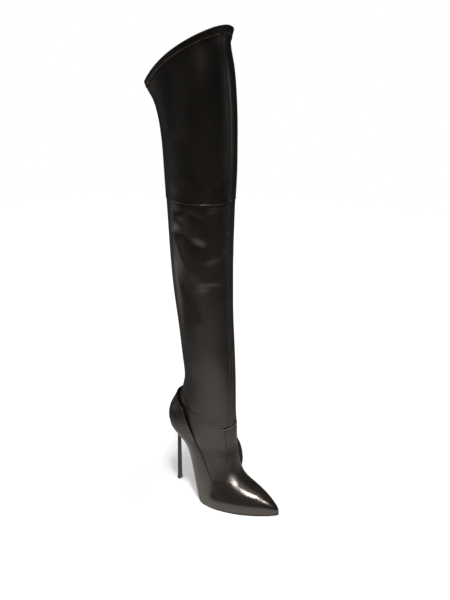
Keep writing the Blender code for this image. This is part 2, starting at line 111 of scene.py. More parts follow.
# The quarter's topline: the share of the section at which it crosses on each side, and
# the quarter's clearance at the topline on each side and at the far end.
TOPLINE_COLUMNS = ("outer", "inner", "outer_gap", "inner_gap", "far_gap")
TOPLINE = (
    ("seam", 0.500, 0.400, 1.1, 1.4, 0.9),
    ("waist_low", 0.470, 0.180, 1.1, 3.2, 0.9),
    ("waist", 0.505, 0.110, 1.1, 4.6, 0.9),
    ("waist_high", 0.530, 0.105, 1.1, 4.8, 0.9),
    ("seat_front", 0.490, 0.160, 1.2, 4.2, 1.0),
    ("seat", 0.450, 0.230, 1.4, 3.4, 1.2),
    ("seat_back", 0.435, 0.280, 1.8, 2.8, 1.3),
    ("counter", 0.470, 0.350, 2.3, 2.6, 1.4),
    ("counter_top", 0.550, 0.480, 3.0, 3.0, 1.9),
    ("ankle", 0.720, 0.700, 4.0, 4.0, 3.0),
    ("peak", 1.000, 1.000, 4.8, 4.8, 4.8),
)
GAP_FALL = 1.5

# --------------------------------------------------------------- where the trim lies
# Level, and the sideways place of the front band's middle line.
BAND_LINE = (
    (133.0, 3.5), (220.0, 4.9), (290.0, 6.0), (356.0, 4.8), (406.0, 2.6), (451.0, 0.3),
    (487.0, -0.2), (518.0, 0.6), (600.0, 1.4), (657.0, 0.4), (713.0, -2.4),
    (760.0, -1.6), (779.5, -1.2),
)
# Level, and the sideways places of the throat strip's outer and inner edges.
STRIP_EDGES = (
    (62.0, -26.0, 31.0), (66.0, -21.5, 27.5), (70.0, -17.4, 24.5), (75.6, -14.0, 21.8),
    (81.4, -11.4, 19.6), (92.0, -9.4, 17.8), (106.0, -8.6, 17.0), (120.0, -9.3, 17.4),
    (132.5, -10.6, 18.4),
)
QUARTER_FRONT = 58.4      # level of the quarter's front edge
KNEE_LEVEL = 516.0
HEM_LEVEL = 766.5

# Folds and hollows pressed into the leathers. Each has a height, negative for a hollow,
# a reach to either side, and the level and turn of the points that it passes through.
LEG_FOLDS = (
    (2.6, 10.0, ((483, -107), (480, -86), (473, -70), (465, -56), (460, -40))),
    (-2.6, 7.0, ((500, -104), (498, -87), (497, -72), (492, -59), (485, -46))),
    (-2.8, 8.0, ((464, -105), (462, -85), (454, -75), (447, -57), (441, -46))),
    (3.4, 11.0, ((462, -114), (446, -98), (430, -88), (416, -76), (405, -66), (390, -56),
                 (374, -50))),
    (1.3, 6.0, ((423, -50), (429, -33), (432, -17), (432, 2))),
    (1.0, 5.0, ((389, -60), (391, -41), (390, -22), (388, -3))),
    (0.9, 3.5, ((507, -42), (508, -29), (507, -14))),
    (-1.3, 3.0, ((512, -38), (512, -26), (512, -6))),
    (-1.6, 10.0, ((404, -104), (376, -86), (350, -72), (320, -62))),
    (1.3, 9.0, ((350, -110), (310, -100), (260, -95), (215, -92))),
    (0.9, 2.6, ((147, -158), (144, -149), (143.5, -130), (143, -115), (140, -94),
                (136, -80))),
    (-1.5, 3.0, ((166, -158), (160, -153), (152, -130), (145, -103), (140, -88))),
    (1.6, 7.0, ((500, 60), (470, 84), (440, 110), (420, 140))),
    (-1.8, 9.0, ((480, 50), (452, 78), (424, 100))),
    (1.8, 8.0, ((430, 40), (405, 70), (384, 96), (372, 130))),
    (1.2, 8.0, ((360, 60), (330, 90), (310, 120))),
    (-1.6, 9.0, ((500, 150), (470, 180), (452, 205))),
    (1.0, 3.0, ((147, 158), (144, 149), (143.5, 130), (142, 110), (138, 92))),
    (-1.3, 3.4, ((166, 158), (158, 150), (150, 128), (143, 104))),
)
THIGH_FOLDS = (
    (-2.6, 15.0, ((764, -76), (728, -82), (693, -87), (655, -88), (620, -86))),
    (2.0, 14.0, ((750, -110), (715, -108), (680, -108), (640, -106))),
    (2.0, 15.0, ((766, -40), (736, -42), (708, -46), (684, -52))),
    (1.2, 8.0, ((590, -22), (577, -16), (560, -14), (546, -15))),
    (-1.4, 5.0, ((552, -30), (543, -26), (536, -26), (527, -30))),
    (1.4, 9.0, ((552, -112), (540, -92), (534, -66))),
    (-1.2, 10.0, ((566, -84), (556, -58), (552, -38))),
    (1.0, 12.0, ((640, -70), (610, -62), (585, -52))),
    (1.6, 14.0, ((740, 60), (690, 72), (640, 80))),
    (-2.0, 15.0, ((730, 110), (680, 116), (620, 110))),
    (1.4, 10.0, ((560, 120), (545, 90), (535, 60))),
    (-1.8, 14.0, ((700, 165), (650, 178), (600, 190))),
)
# Across the edge of a laid strip: distance in from the edge, share of the full lift,
# and how dark the sunken seam is there, partly the edge's dye and partly painted shade.
STRIP_EDGE = (
    (-0.75, 0.10, 1.0), (-0.15, 0.10, 1.0), (0.0, 0.30, 0.8), (0.2, 0.60, 0.1),
    (0.55, 0.88, 0.0), (1.1, 1.0, 0.0),
)
WAVES = (38.0, 0.25)      # length and height of the hide's soft unsteadiness
SKIN_COLUMNS = 130        # facets from the front line round one side
WELD = 0.02               # points this close are one point
TUCK = 3.0                # how far the upper's edge is turned in under the foot
QUARTER_WALL = 1.4
SOLE_WALL = 2.5
SEAT_CLEARANCE = 0.75     # between the outsole's underside and the blade's top
SOLE_BEVEL = 0.45
LINING_DEPTHS = (1.8, 2.2)   # of the linings of the leg and the thigh under the leather
BLADE_FOOT = 6.8          # heights of the blade's foot and of where it starts to spread
BLADE_TOP = 89.0
BLADE_PLACE = (-1.5, 2.0)    # the blade's middle, forwards and sideways of the origin
BLADE_SIZE = (5.0, 7.4)   # the blade's depth and its width at the foot
BAR_ENDS = (-13.4, 19.4)  # sideways places of the crossbar's ends
BAR_START = (-11.0, 132.4)   # a place on its line, sideways and in level
BAR_SLOPE = 0.19          # its rise towards the inner side
BAR_REACH = 1.6           # half the height of the crossbar's ridge
# The dark seam under the crossbar is partly painted shade.
BAR_BED = 3.6             # half the height of the dark seam that it lies in

# Finishes: a sunken seam's colour, partly dye and partly painted shade, its roughness,
# and the tint of every leather's sheen.
SEAM_AND_SHADE_COLOUR = (0.002, 0.0017, 0.0015, 1.0)
SEAM_ROUGHNESS = 0.85
WARM_SHEEN = (1.0, 0.88, 0.78, 1.0)

# The floor, in metres: its middle, then for each glow the place it lies round, the
# distances over which it dies away, and for the far one its strengths and its stretch.
FLOOR_PLACE = (0.45, 0.55, 0.0)
NEAR_GLOW = (-0.15, -0.15, 0.0)
NEAR_START = 0.08
FAR_GLOW = (-0.38, 0.60, 0.0)
FAR_RANGE = (0.04, 0.36)
FAR_STRENGTH = (1.7, 0.06)
FAR_STRETCH = (1.0, 0.55, 1.0)
WHITE_RANGE = (0.12, 0.34)   # where the floor turns white for the camera
MIRRORED_SHADE = (0.12, 0.12, 0.12, 1.0)
SEEN_SHADE = (0.5, 0.5, 0.5, 1.0)

CAMERA_PLACE = (-1.24828, -1.10217, 0.9529)
CAMERA_AHEAD = (0.7112, 0.6161, -0.3387)
CAMERA_RIGHT = (0.6548, -0.7559, 0.0)
CAMERA_LENS = 66.99

# Softboxes: place, the point they are aimed at, width and length in metres, the
# spread of the beam in degrees, and watts.
SOFTBOXES = (
    ("toe", (-0.58, -0.51, 1.56), (0.0, -0.10, 0.04), (0.21, 0.50), 30.0, 1.25),
    ("tip", (-0.72, -0.98, 1.24), (0.0, -0.12, 0.03), (0.14, 0.45), 30.0, 0.30),
    ("overhead", (0.0, 0.0, 2.4), (0.0, 0.0, 0.0), (1.2, 1.2), 180.0, 6.0),
    ("front", (-0.95, -1.45, 1.35), (0.0, 0.0, 0.55), (0.7, 0.7), 180.0, 2.8),
    ("inner", (1.5, -1.5, 0.45), (0.0, 0.0, 0.35), (0.7, 0.7), 180.0, 3.0),
    ("outer", (-1.9, 0.5, 0.35), (0.0, 0.0, 0.25), (0.6, 0.6), 180.0, 0.6),
    ("rear", (-1.3, 1.5, 1.3), (0.0, 0.0, 0.4), (0.6, 0.6), 180.0, 14.0),
    ("back", (1.7, 0.95, 0.95), (0.0, 0.0, 0.35), (0.35, 0.35), 180.0, 3.0),
)


# ------------------------------------------------------------------ surface of the last
class Spline:
    """Natural cubic spline through rows of values at rising knots."""

    def __init__(self, knots, values):
        self.knots = np.asarray(knots, float)
        self.values = np.asarray(values, float)
        count = len(self.knots)
        width = np.diff(self.knots)
        matrix = np.eye(count)
        right = np.zeros_like(self.values)
        for i in range(1, count - 1):
            matrix[i, i - 1] = width[i - 1]
            matrix[i, i] = 2 * (width[i - 1] + width[i])
            matrix[i, i + 1] = width[i]
            rise = (self.values[i + 1] - self.values[i]) / width[i]
            fall = (self.values[i] - self.values[i - 1]) / width[i - 1]
            right[i] = 6 * (rise - fall)
        self.bends = np.linalg.solve(matrix, right)

    def __call__(self, place):
        place = np.clip(np.asarray(place, float), self.knots[0], self.knots[-1])
        i = np.searchsorted(self.knots, place, side="right") - 1
        i = np.clip(i, 0, len(self.knots) - 2)
        width = self.knots[i + 1] - self.knots[i]
        b = (place - self.knots[i]) / width
        if self.values.ndim > 1:
            width, b = width[..., None], b[..., None]
        a = 1 - b
        bend = (a**3 - a) * self.bends[i] + (b**3 - b) * self.bends[i + 1]
        return a * self.values[i] + b * self.values[i + 1] + bend * width**2 / 6


NAMES = [row[0] for row in SECTIONS]
VALUES = np.array([row[1:] for row in SECTIONS])
TRAVEL = np.linalg.norm(np.diff(VALUES[:, :4], axis=0), axis=1)
KNOTS = np.concatenate([[0.0], np.cumsum(np.sqrt(TRAVEL))])
LAST = Spline(KNOTS, VALUES)
EASED = ("front_u", "front_z", "half", "front_x", "front_round", "power")


def at(name):
    """Parameter of the named section."""
    return float(KNOTS[NAMES.index(name)])


@lru_cache
def eased_columns():
    """The front's columns with the table's small unevenness over the instep ironed out."""
    dense = np.arange(at("ball"), at("leg_220"), 0.1)
    columns = LAST(dense)[:, [SECTION_COLUMNS.index(name) for name in EASED]]
    weights = np.exp(-0.5 * (np.arange(-120, 121) / 38.0) ** 2)
    weights /= weights.sum()
    padded = np.pad(columns, ((120, 120), (0, 0)), mode="reflect", reflect_type="odd")
    smooth = np.stack([np.convolve(c, weights, mode="valid") for c in padded.T], axis=1)
    inside = (dense - dense[0]) / (dense[-1] - dense[0])
    share = np.clip(6 * np.minimum(inside, 1 - inside), 0.0, 1.0)[:, None]
    return dense, columns + (smooth - columns) * share * share * (3 - 2 * share)


def section(s):
    """The sections at parameters s, as a dictionary of the table's columns."""
    s = np.asarray(s, float)
    row = dict(zip(SECTION_COLUMNS, np.moveaxis(LAST(s), -1, 0)))
    dense, columns = eased_columns()
    within = (s > dense[0]) & (s < dense[-1])
    for name, column in zip(EASED, columns.T):
        row[name] = np.where(within, np.interp(s, dense, column), row[name])
    heel = (s - at("seat_front")) / (at("seat_back") - at("seat_front"))
    row["edge"] = row["edge"] * np.sqrt(1 - np.clip(heel, 0.0, 1.0) ** 2)
    row["dip"] = np.maximum(row["dip"], 0.0)
    row["half"] = np.maximum(row["half"], 0.0)
    row["far_z"] = np.maximum(row["far_z"], TREAD_TOP)
    return row


def skin(s, turn):
    """Points on the leather at parameters s and turns in radians."""
    row = section(s)
    share = (1 - np.cos(turn)) / 2
    side = np.where(np.sin(turn) < 0, -1.0, 1.0)
    power = row["power"]
    front = np.maximum(1 - share / row["front_round"], 0.0)
    far = np.maximum(1 - (1 - share) / row["far_round"], 0.0)
    closing = (1 - front**power) ** (1 / power)
    tuck = np.maximum(1 - (1 - row["edge"] ** power) * far**power, 0.0) ** (1 / power)
    middle = row["front_x"] + (row["far_x"] - row["front_x"]) * share
    u = row["front_u"] + (row["far_u"] - row["front_u"]) * share
    z = row["front_z"] + (row["far_z"] - row["front_z"]) * share
    z = z - row["dip"] * np.sin(np.pi * share**DIP_POWER)
    above = z - CHEEK_HEIGHT
    cheek = np.tanh(above / 9.0) * np.exp(-((above / 40.0) ** 2))
    cheek = CHEEK * cheek * np.exp(-(((share - 0.24) / 0.16) ** 2))
    x = middle + side * (row["half"] * closing * tuck + cheek)
    return np.stack([x, -u, z], axis=-1)


DENSE = np.linspace(0.0, KNOTS[-1], 4000)
LEVELS = section(DENSE)["front_z"]


def at_level(level):
    """Parameters of the sections whose fronts stand at the given heights."""
    return np.interp(level, LEVELS, DENSE)


def unit(vectors):
    """Vectors of length one."""
    lengths = np.linalg.norm(vectors, axis=-1, keepdims=True)
    return vectors / np.maximum(lengths, 1e-9)


def surface(s, turn):
    """Point, outward normal and upward direction of the skin."""
    limit = math.pi - 0.004
    inside = np.clip(turn, -limit, limit)
    up = skin(s + 0.004, inside) - skin(s - 0.004, inside)
    around = skin(s, inside + 0.002) - skin(s, inside - 0.002)
    return skin(s, turn), unit(np.cross(around, up)), unit(up)


def run_of(points):
    """Distance along each row of a grid of points, from its first column."""
    steps = np.linalg.norm(np.diff(points, axis=1), axis=2)
    return np.concatenate([np.zeros((len(points), 1)), np.cumsum(steps, axis=1)], axis=1)


def even_turns(s, start, side, columns):
    """Turns that cut each section into equal lengths, from a start round to the back."""
    start = np.broadcast_to(start, np.shape(s))
    dense = start[:, None] + (np.pi - start[:, None]) * np.linspace(0.0, 1.0, 240)
    along = run_of(skin(s[:, None], side * dense))
    even = np.linspace(0.0, 1.0, columns + 1)
    return np.array([np.interp(even * a[-1], a, d) for a, d in zip(along, dense)])


def full_turns(s):
    """Turns that cut whole sections evenly, from the back round the outer side first."""
    outer, inner = (even_turns(s, 0.0, side, SKIN_COLUMNS) for side in (-1, 1))
    return np.concatenate([-outer[:, ::-1], inner[:, 1:]], axis=1)


def rows_between(first, last, spacing):
    """Parameters from one to another, a spacing apart where the surface moves most."""
    s = np.linspace(first, last, 2000)
    row = section(s)
    front = np.hypot(np.diff(row["front_u"]), np.diff(row["front_z"]))
    far = np.hypot(np.diff(row["far_u"]), np.diff(row["far_z"]))
    travel = np.concatenate([[0.0], np.cumsum(np.maximum(front, far))])
    count = max(2, math.ceil(travel[-1] / spacing))
    return np.interp(np.linspace(0.0, travel[-1], count + 1), travel, s)


def heel_rows(spacing):
    """Parameters round the back of the heel seat, closing up towards the end."""
    start, end = at("seat_front"), at("seat_back")
    count = len(rows_between(start, end, spacing))
    return start + (end - start) * np.sin(np.linspace(0.0, np.pi / 2, count + 4))


def foot_rows(first, spacing):
    """Parameters along the foot, from one parameter round the heel to the ankle."""
    ahead = rows_between(first, at("seat_front"), spacing)
    behind = rows_between(at("seat_back"), at("ankle"), spacing)
    return np.concatenate([ahead[:-1], heel_rows(spacing), behind[1:]])


def turn_at_x(s, x):
    """Turn at which each section's front side lies at a sideways place."""
    turns = np.linspace(-1.6, 1.6, 241)
    lines = skin(np.atleast_1d(s)[:, None], turns)[..., 0]
    x = np.broadcast_to(x, np.shape(np.atleast_1d(s)))
    return np.array([np.interp(place, line, turns) for place, line in zip(x, lines)])


def relief(points, folds):
    """Height at each point of the folds and hollows pressed into the leather."""
    flat = points.reshape(-1, 3)
    height = np.zeros(len(flat))
    for rise, reach, stops in folds:
        stops = np.array(stops, float)
        path = Spline(np.arange(len(stops)), stops)
        path = path(np.linspace(0.0, len(stops) - 1, 14 * len(stops)))
        line = skin(at_level(path[:, 0]), np.radians(path[:, 1]))
        low, high = line.min(axis=0) - 3 * reach, line.max(axis=0) + 3 * reach
        near = np.flatnonzero(np.all((flat > low) & (flat < high), axis=1))
        if not len(near):
            continue
        apart = np.linalg.norm(flat[near][:, None] - line[None], axis=2)
        nearest = apart.argmin(axis=1)
        taper = np.sin(np.pi * (nearest + 0.5) / len(line)) ** 0.7
        height[near] += rise * taper * np.exp(-((apart.min(axis=1) / reach) ** 2))
    return height.reshape(points.shape[:-1])


def waves(points, size, height):
    """A soft, even unsteadiness of the hide."""
    x, y, z = np.moveaxis(points, -1, 0) / size
    swell = np.sin(1.9 * x + 0.7 * z + 0.4) * np.sin(1.3 * y - 0.9 * z + 1.7)
    ripple = np.sin(2.7 * z + 1.1 * x - 0.8) * np.sin(1.7 * x + 2.3 * y)
    return height * (0.6 * swell + 0.4 * ripple)


# ------------------------------------------------------------------------ mesh helpers
def metres(points):
    """Table coordinates in millimetres as places in the frame, in metres."""
    return np.asarray(points) * MM + ORIGIN


def heel_place():
    """Where the tables' reference point lies in the frame: the blade's foot fixes it."""
    low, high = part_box("top_piece")
    middle = (low + high) / 2
    ahead, side = BLADE_PLACE
    return np.array([middle.x - side * MM, middle.y + ahead * MM, 0.0])


ORIGIN = heel_place()


def grid_normals(points):
    """Outward unit normals of a grid, joined round the back where its rows close."""
    along = np.gradient(points, axis=0)
    around = np.gradient(points, axis=1)
    closed = np.linalg.norm(points[:, 0] - points[:, -1], axis=-1) < WELD
    across = (points[:, 1] - points[:, -2]) / 2
    around[closed, 0] = across[closed]
    around[closed, -1] = across[closed]
    return unit(np.cross(around, along))


def grid_mesh(name, points, uv=None, skip_after=(), normals=None, values=None, flip=False):
    """A mesh of quads through a grid of points, welded where its rows or ends close.

    skip_after lists the columns that aren't joined to the next one. values is a
    dictionary of numbers at each point, kept as attributes.
    """
    rows, columns = points.shape[:2]
    number = np.arange(rows * columns).reshape(rows, columns)
    quads = [number[:-1, :-1], number[:-1, 1:], number[1:, 1:], number[1:, :-1]]
    quads = np.stack(quads[::-1] if flip else quads, axis=-1)
    kept = [j for j in range(columns - 1) if j not in skip_after]
    quads = quads[:, kept].reshape(-1, 4)
    mesh = bpy.data.meshes.new(name)
    mesh.from_pydata(metres(points.reshape(-1, 3)), [], quads.tolist())
    if uv is not None:
        layer = mesh.uv_layers.new(name="Cut")
        layer.uv.foreach_set("vector", uv.reshape(-1, 2)[quads.ravel()].ravel())
    for label, numbers in (values or {}).items():
        attribute = mesh.attributes.new(label, "FLOAT", "POINT")
        attribute.data.foreach_set("value", np.ravel(numbers).astype(float))
    if normals is not None:
        attribute = mesh.attributes.new("facing", "FLOAT_VECTOR", "POINT")
        attribute.data.foreach_set("vector", (-normals if flip else normals).ravel())
    shape = bmesh.new()
    shape.from_mesh(mesh)
    bmesh.ops.remove_doubles(shape, verts=shape.verts, dist=WELD * MM)
    bmesh.ops.dissolve_degenerate(shape, edges=shape.edges, dist=WELD * MM / 2)
    loose = [vertex for vertex in shape.verts if not vertex.link_faces]
    bmesh.ops.delete(shape, geom=loose, context="VERTS")
    shape.to_mesh(mesh)
    shape.free()
    mesh.shade_smooth()
    if normals is not None:
        facing = np.empty(len(mesh.vertices) * 3)
        mesh.attributes["facing"].data.foreach_get("vector", facing)
        mesh.normals_split_custom_set_from_vertices(unit(facing.reshape(-1, 3)))
        mesh.attributes.remove(mesh.attributes["facing"])
    return mesh


def add_piece(name, mesh, finish, slot, *nodes):
    """Show a finished mesh as a piece of the boot, in the place of CAD nodes."""
    piece = bpy.data.objects.new(name, mesh)
    bpy.context.scene.collection.objects.link(piece)
    mesh.materials.clear()
    mesh.materials.append(finish)
    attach(piece, "root")
    if nodes:
        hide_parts(*nodes)
    return piece


def evaluated(source, name):
    """The mesh of an object with its modifiers applied; the object is then removed."""
    bpy.context.view_layer.update()
    graph = bpy.context.evaluated_depsgraph_get()
    result = bpy.data.meshes.new_from_object(source.evaluated_get(graph))
    result.name = name
    bpy.data.objects.remove(source, do_unlink=True)
    return result


def baked(name, mesh, *stages):
    """The mesh with modifiers applied. Each stage is a modifier's kind and settings."""
    source = bpy.data.objects.new(name, mesh)
    bpy.context.scene.collection.objects.link(source)
    for kind, settings in stages:
        modifier = source.modifiers.new(kind.title(), kind)
        for label, value in settings.items():
            setattr(modifier, label, value)
    return evaluated(source, name)


def laid_patch(name, s, turn, lift, folds=(), seam=0.0):
    """A sheet laid on the skin: grids of parameters, turns, lifts and dark seams.

    The seams' darkness is partly dye and partly painted shade.
    """
    points, facing, _ = surface(s, turn)
    height = relief(points, folds)
    points = points + facing * (lift + height + waves(points, *WAVES))[..., None]
    around = run_of(points)
    level = np.broadcast_to(section(s)["front_z"], around.shape)
    uv = np.stack([around, level], axis=-1) * MM
    values = {"fold": height, "seam": np.broadcast_to(seam, around.shape)}
    return grid_mesh(name, points, uv=uv, normals=grid_normals(points), values=values)


def strip_profile(width, columns=9):
    """Across a strip with folded edges: places from its middle, share of lift, seam.

    The seam's darkness is partly dye and partly painted shade.
    """
    edge = np.array(STRIP_EDGE)
    middle = np.linspace(-1.0, 1.0, columns)[1:-1] * (width / 2 - edge[-1, 0])
    sides = edge[:, 0] - width / 2
    across = np.concatenate([sides, middle, -sides[::-1]])
    lift = np.concatenate([edge[:, 1], np.ones(len(middle)), edge[::-1, 1]])
    seam = np.concatenate([edge[:, 2], np.zeros(len(middle)), edge[::-1, 2]])
    return across, lift, seam


# -------------------------------------------------------------------- material helpers
def add_node(tree, kind, inputs=None, **settings):
    """A node with its settings. inputs gives values, or other nodes' outputs."""
    node = tree.nodes.new(kind)
    for label, value in settings.items():
        setattr(node, label, value)
    for key, value in (inputs or {}).items():
        if isinstance(value, bpy.types.NodeSocket):
            tree.links.new(value, node.inputs[key])
        else:
            node.inputs[key].default_value = value
    return node


def maths(tree, operation, *values, **settings):
    """The outcome of a sum; values are numbers or other nodes' outputs."""
    return add_node(tree, "ShaderNodeMath", dict(enumerate(values)),
                    operation=operation, **settings).outputs[0]


def ranged(tree, value, start, end, kind="LINEAR"):
    """A value moved from one range, start, to another, end."""
    return add_node(tree, "ShaderNodeMapRange", {
        "Value": value, "From Min": start[0], "From Max": start[1],
        "To Min": end[0], "To Max": end[1]}, interpolation_type=kind).outputs["Result"]


def tinted(tree, share, first, second):
    """A colour between two others, by a share."""
    return add_node(tree, "ShaderNodeMix", {0: share, 6: first, 7: second},
                    data_type="RGBA").outputs[2]


def new_group(name, inputs, outputs, kind="ShaderNodeTree"):
    """A node group with named sockets, and its input and output nodes."""
    tree = bpy.data.node_groups.new(name, kind)
    for label, socket_type, default in inputs:
        socket = tree.interface.new_socket(label, in_out="INPUT", socket_type=socket_type)
        if default is not None:
            socket.default_value = default
    for label, socket_type in outputs:
        tree.interface.new_socket(label, in_out="OUTPUT", socket_type=socket_type)
    return tree, tree.nodes.new("NodeGroupInput"), tree.nodes.new("NodeGroupOutput")


@lru_cache
def grain_group():
    """Height of a calf leather's pebbles, creased cells and pores."""
    tree, given, made = new_group(
        "Calf grain",
        (("Vector", "NodeSocketVector", None), ("Grain Size", "NodeSocketFloat", 0.7)),
        (("Height", "NodeSocketFloat"),),
    )
    scale = maths(tree, "DIVIDE", 1000.0, given.outputs["Grain Size"])
    warp = add_node(tree, "ShaderNodeTexNoise", {
        "Vector": given.outputs["Vector"], "Scale": 420.0, "Detail": 2.0})
    drift = add_node(tree, "ShaderNodeVectorMath", {
        0: warp.outputs["Color"], "Scale": 0.0009}, operation="SCALE")
    moved = add_node(tree, "ShaderNodeVectorMath", {
        0: given.outputs["Vector"], 1: drift.outputs["Vector"]}, operation="ADD")
    cells = add_node(tree, "ShaderNodeTexVoronoi", {
        "Vector": moved.outputs["Vector"], "Scale": scale}, feature="DISTANCE_TO_EDGE")
    dome = ranged(tree, cells.outputs["Distance"], (0.0, 0.35), (0.0, 1.0), "SMOOTHSTEP")
    fine = add_node(tree, "ShaderNodeTexNoise", {
        "Vector": given.outputs["Vector"], "Scale": 2600.0, "Detail": 2.0})
    height = maths(tree, "MULTIPLY_ADD", fine.outputs["Fac"], 0.35, dome)
    tree.links.new(height, made.inputs["Height"])
    return tree


@lru_cache
def tone_group():
    """Uneven tone of dyed and handled leather: 0 is worn light, 1 deep and dark.

    The fold's height makes it lighter on ridges, from wear and painted sheen, and darker
    in hollows, as painted shade.
    """
    tree, given, made = new_group(
        "Leather tone",
        (("Vector", "NodeSocketVector", None), ("Patch Size", "NodeSocketFloat", 30.0),
         ("Fold", "NodeSocketFloat", 0.0), ("Fold Wear and Shade", "NodeSocketFloat", 0.2)),
        (("Tone", "NodeSocketFloat"),),
    )
    scale = maths(tree, "DIVIDE", 1000.0, given.outputs["Patch Size"])
    broad = add_node(tree, "ShaderNodeTexNoise", {
        "Vector": given.outputs["Vector"], "Scale": scale, "Detail": 4.0, "Roughness": 0.6})
    clear = ranged(tree, broad.outputs["Fac"], (0.3, 0.7), (0.0, 1.0))
    # Ridges of folds come out lighter, as wear and painted sheen; hollows darker, as
    # painted shade.
    fold_wear_and_shade = maths(tree, "MULTIPLY", given.outputs["Fold"], given.outputs["Fold Wear and Shade"])
    tone = maths(tree, "SUBTRACT", clear, fold_wear_and_shade, use_clamp=True)
    tree.links.new(tone, made.inputs["Tone"])
    return tree


def new_material(name):
    """An empty material, with its tree and its Principled shader."""
    made = bpy.data.materials.new(name)
    made.use_nodes = True
    tree = made.node_tree
    return made, tree, tree.nodes["Principled BSDF"]


def set_inputs(shader, **values):
    """Set a shader's own sockets; underscores in a name stand for spaces."""
    for label, value in values.items():
        shader.inputs[label.replace("_", " ")].default_value = value


def leather(name, dark, light, gloss, grain=0.7, depth=0.06, patch=30.0, fold_wear_and_shade=0.25,
            polish=None, **own):
    """A dyed calf leather. gloss is its roughness where it is deep and where it is worn.

    polish gives two heights in metres and the share of the roughness left below the
    lower one, for a hide that is polished towards the toe. A piece's own attributes are
    fold, the height pressed into it, and seam, which is 1 along a dark, sunken edge whose
    darkness is partly dye and partly painted shade.
    """
    made, tree, shader = new_material(name)
    place = add_node(tree, "ShaderNodeTexCoord").outputs["Object"]
    fold = add_node(tree, "ShaderNodeAttribute", attribute_name="fold")
    # The colour follows the folds: lighter on ridges (wear and painted sheen), darker in
    # hollows (painted shade).
    tone = add_node(tree, "ShaderNodeGroup", node_tree=tone_group())
    tree.links.new(place, tone.inputs["Vector"])
    tree.links.new(fold.outputs["Fac"], tone.inputs["Fold"])
    tone.inputs["Patch Size"].default_value = patch
    tone.inputs["Fold Wear and Shade"].default_value = fold_wear_and_shade
    hue = tinted(tree, tone.outputs["Tone"], (*light, 1.0), (*dark, 1.0))
    roughness = ranged(tree, tone.outputs["Tone"], (0.0, 1.0), gloss[::-1])
    if polish:
        height = add_node(tree, "ShaderNodeSeparateXYZ", {"Vector": place})
        share = ranged(tree, height.outputs["Z"], polish[:2], (polish[2], 1.0),
                       "SMOOTHSTEP")
        roughness = maths(tree, "MULTIPLY", roughness, share)
    # The seam attribute darkens the colour to near black: partly the edge's dye, partly
    # painted shade.
    seam = add_node(tree, "ShaderNodeAttribute", attribute_name="seam")
    hue = tinted(tree, seam.outputs["Fac"], hue, SEAM_AND_SHADE_COLOUR)
    roughness = add_node(tree, "ShaderNodeMix", {
        0: seam.outputs["Fac"], 2: roughness, 3: SEAM_ROUGHNESS}).outputs[0]
    pebbles = add_node(tree, "ShaderNodeGroup", node_tree=grain_group())
    tree.links.new(place, pebbles.inputs["Vector"])
    pebbles.inputs["Grain Size"].default_value = grain
    bump = add_node(tree, "ShaderNodeBump", {
        "Height": pebbles.outputs["Height"], "Strength": 0.5, "Distance": depth * MM})
    tree.links.new(hue, shader.inputs["Base Color"])
    tree.links.new(roughness, shader.inputs["Roughness"])
    tree.links.new(bump.outputs["Normal"], shader.inputs["Normal"])
    set_inputs(shader, Specular_Tint=WARM_SHEEN, **own)
    return made


PLAIN_FINISHES = {
    "lining": ("lining_kid", (0.035, 0.026, 0.020), (0.060, 0.046, 0.036), (0.6, 0.7),
               {"grain": 0.9, "depth": 0.05}),
    "sock": ("sock_kid", (0.10, 0.075, 0.055), (0.16, 0.125, 0.095), (0.5, 0.65),
             {"grain": 0.9, "depth": 0.05}),
    "sole": ("outsole_leather", (0.004, 0.0036, 0.0032), (0.009, 0.008, 0.007),
             (0.5, 0.65),
             {"grain": 1.2, "depth": 0.06, "patch": 18.0, "Specular_IOR_Level": 0.25}),
    "thread": ("waxed_thread", (0.040, 0.032, 0.026), (0.085, 0.070, 0.058), (0.45, 0.6),
               {"grain": 0.3, "depth": 0.03, "patch": 6.0}),
    "hem_thread": ("hem_thread", (0.10, 0.075, 0.060), (0.20, 0.155, 0.125), (0.5, 0.65),
                   {"grain": 0.3, "depth": 0.03, "patch": 6.0}),
    "rubber": ("tip_rubber", (0.012, 0.012, 0.012), (0.026, 0.025, 0.024), (0.5, 0.65),
               {"grain": 0.4, "depth": 0.04, "patch": 5.0}),
}


@lru_cache
def finish(name):
    """The boot's finishes, each made once."""
    looks = bpy.context.scene.boot_looks
    if name == "steel":
        return steel_finish()
    if name == "leg":
        return leather("leg_calf", looks.leg_dark, looks.leg_light,
                       (looks.leg_roughness, looks.leg_roughness + 0.06),
                       depth=0.016, patch=45.0, polish=(0.038, 0.052, looks.toe_polish))
    if name == "thigh":
        return leather("thigh_calf", looks.thigh_dark, looks.thigh_light,
                       (looks.thigh_roughness, looks.thigh_roughness + 0.08),
                       grain=0.8, depth=0.05, patch=45.0, Specular_IOR_Level=0.36)
    if name == "quarter":
        return leather("quarter_calf", looks.quarter_dark, looks.quarter_light,
                       (looks.quarter_roughness, looks.quarter_roughness + 0.05),
                       grain=0.6, depth=0.02, patch=40.0)
    label, dark, light, gloss, own = PLAIN_FINISHES[name]
    return leather(label, dark, light, gloss, **own)


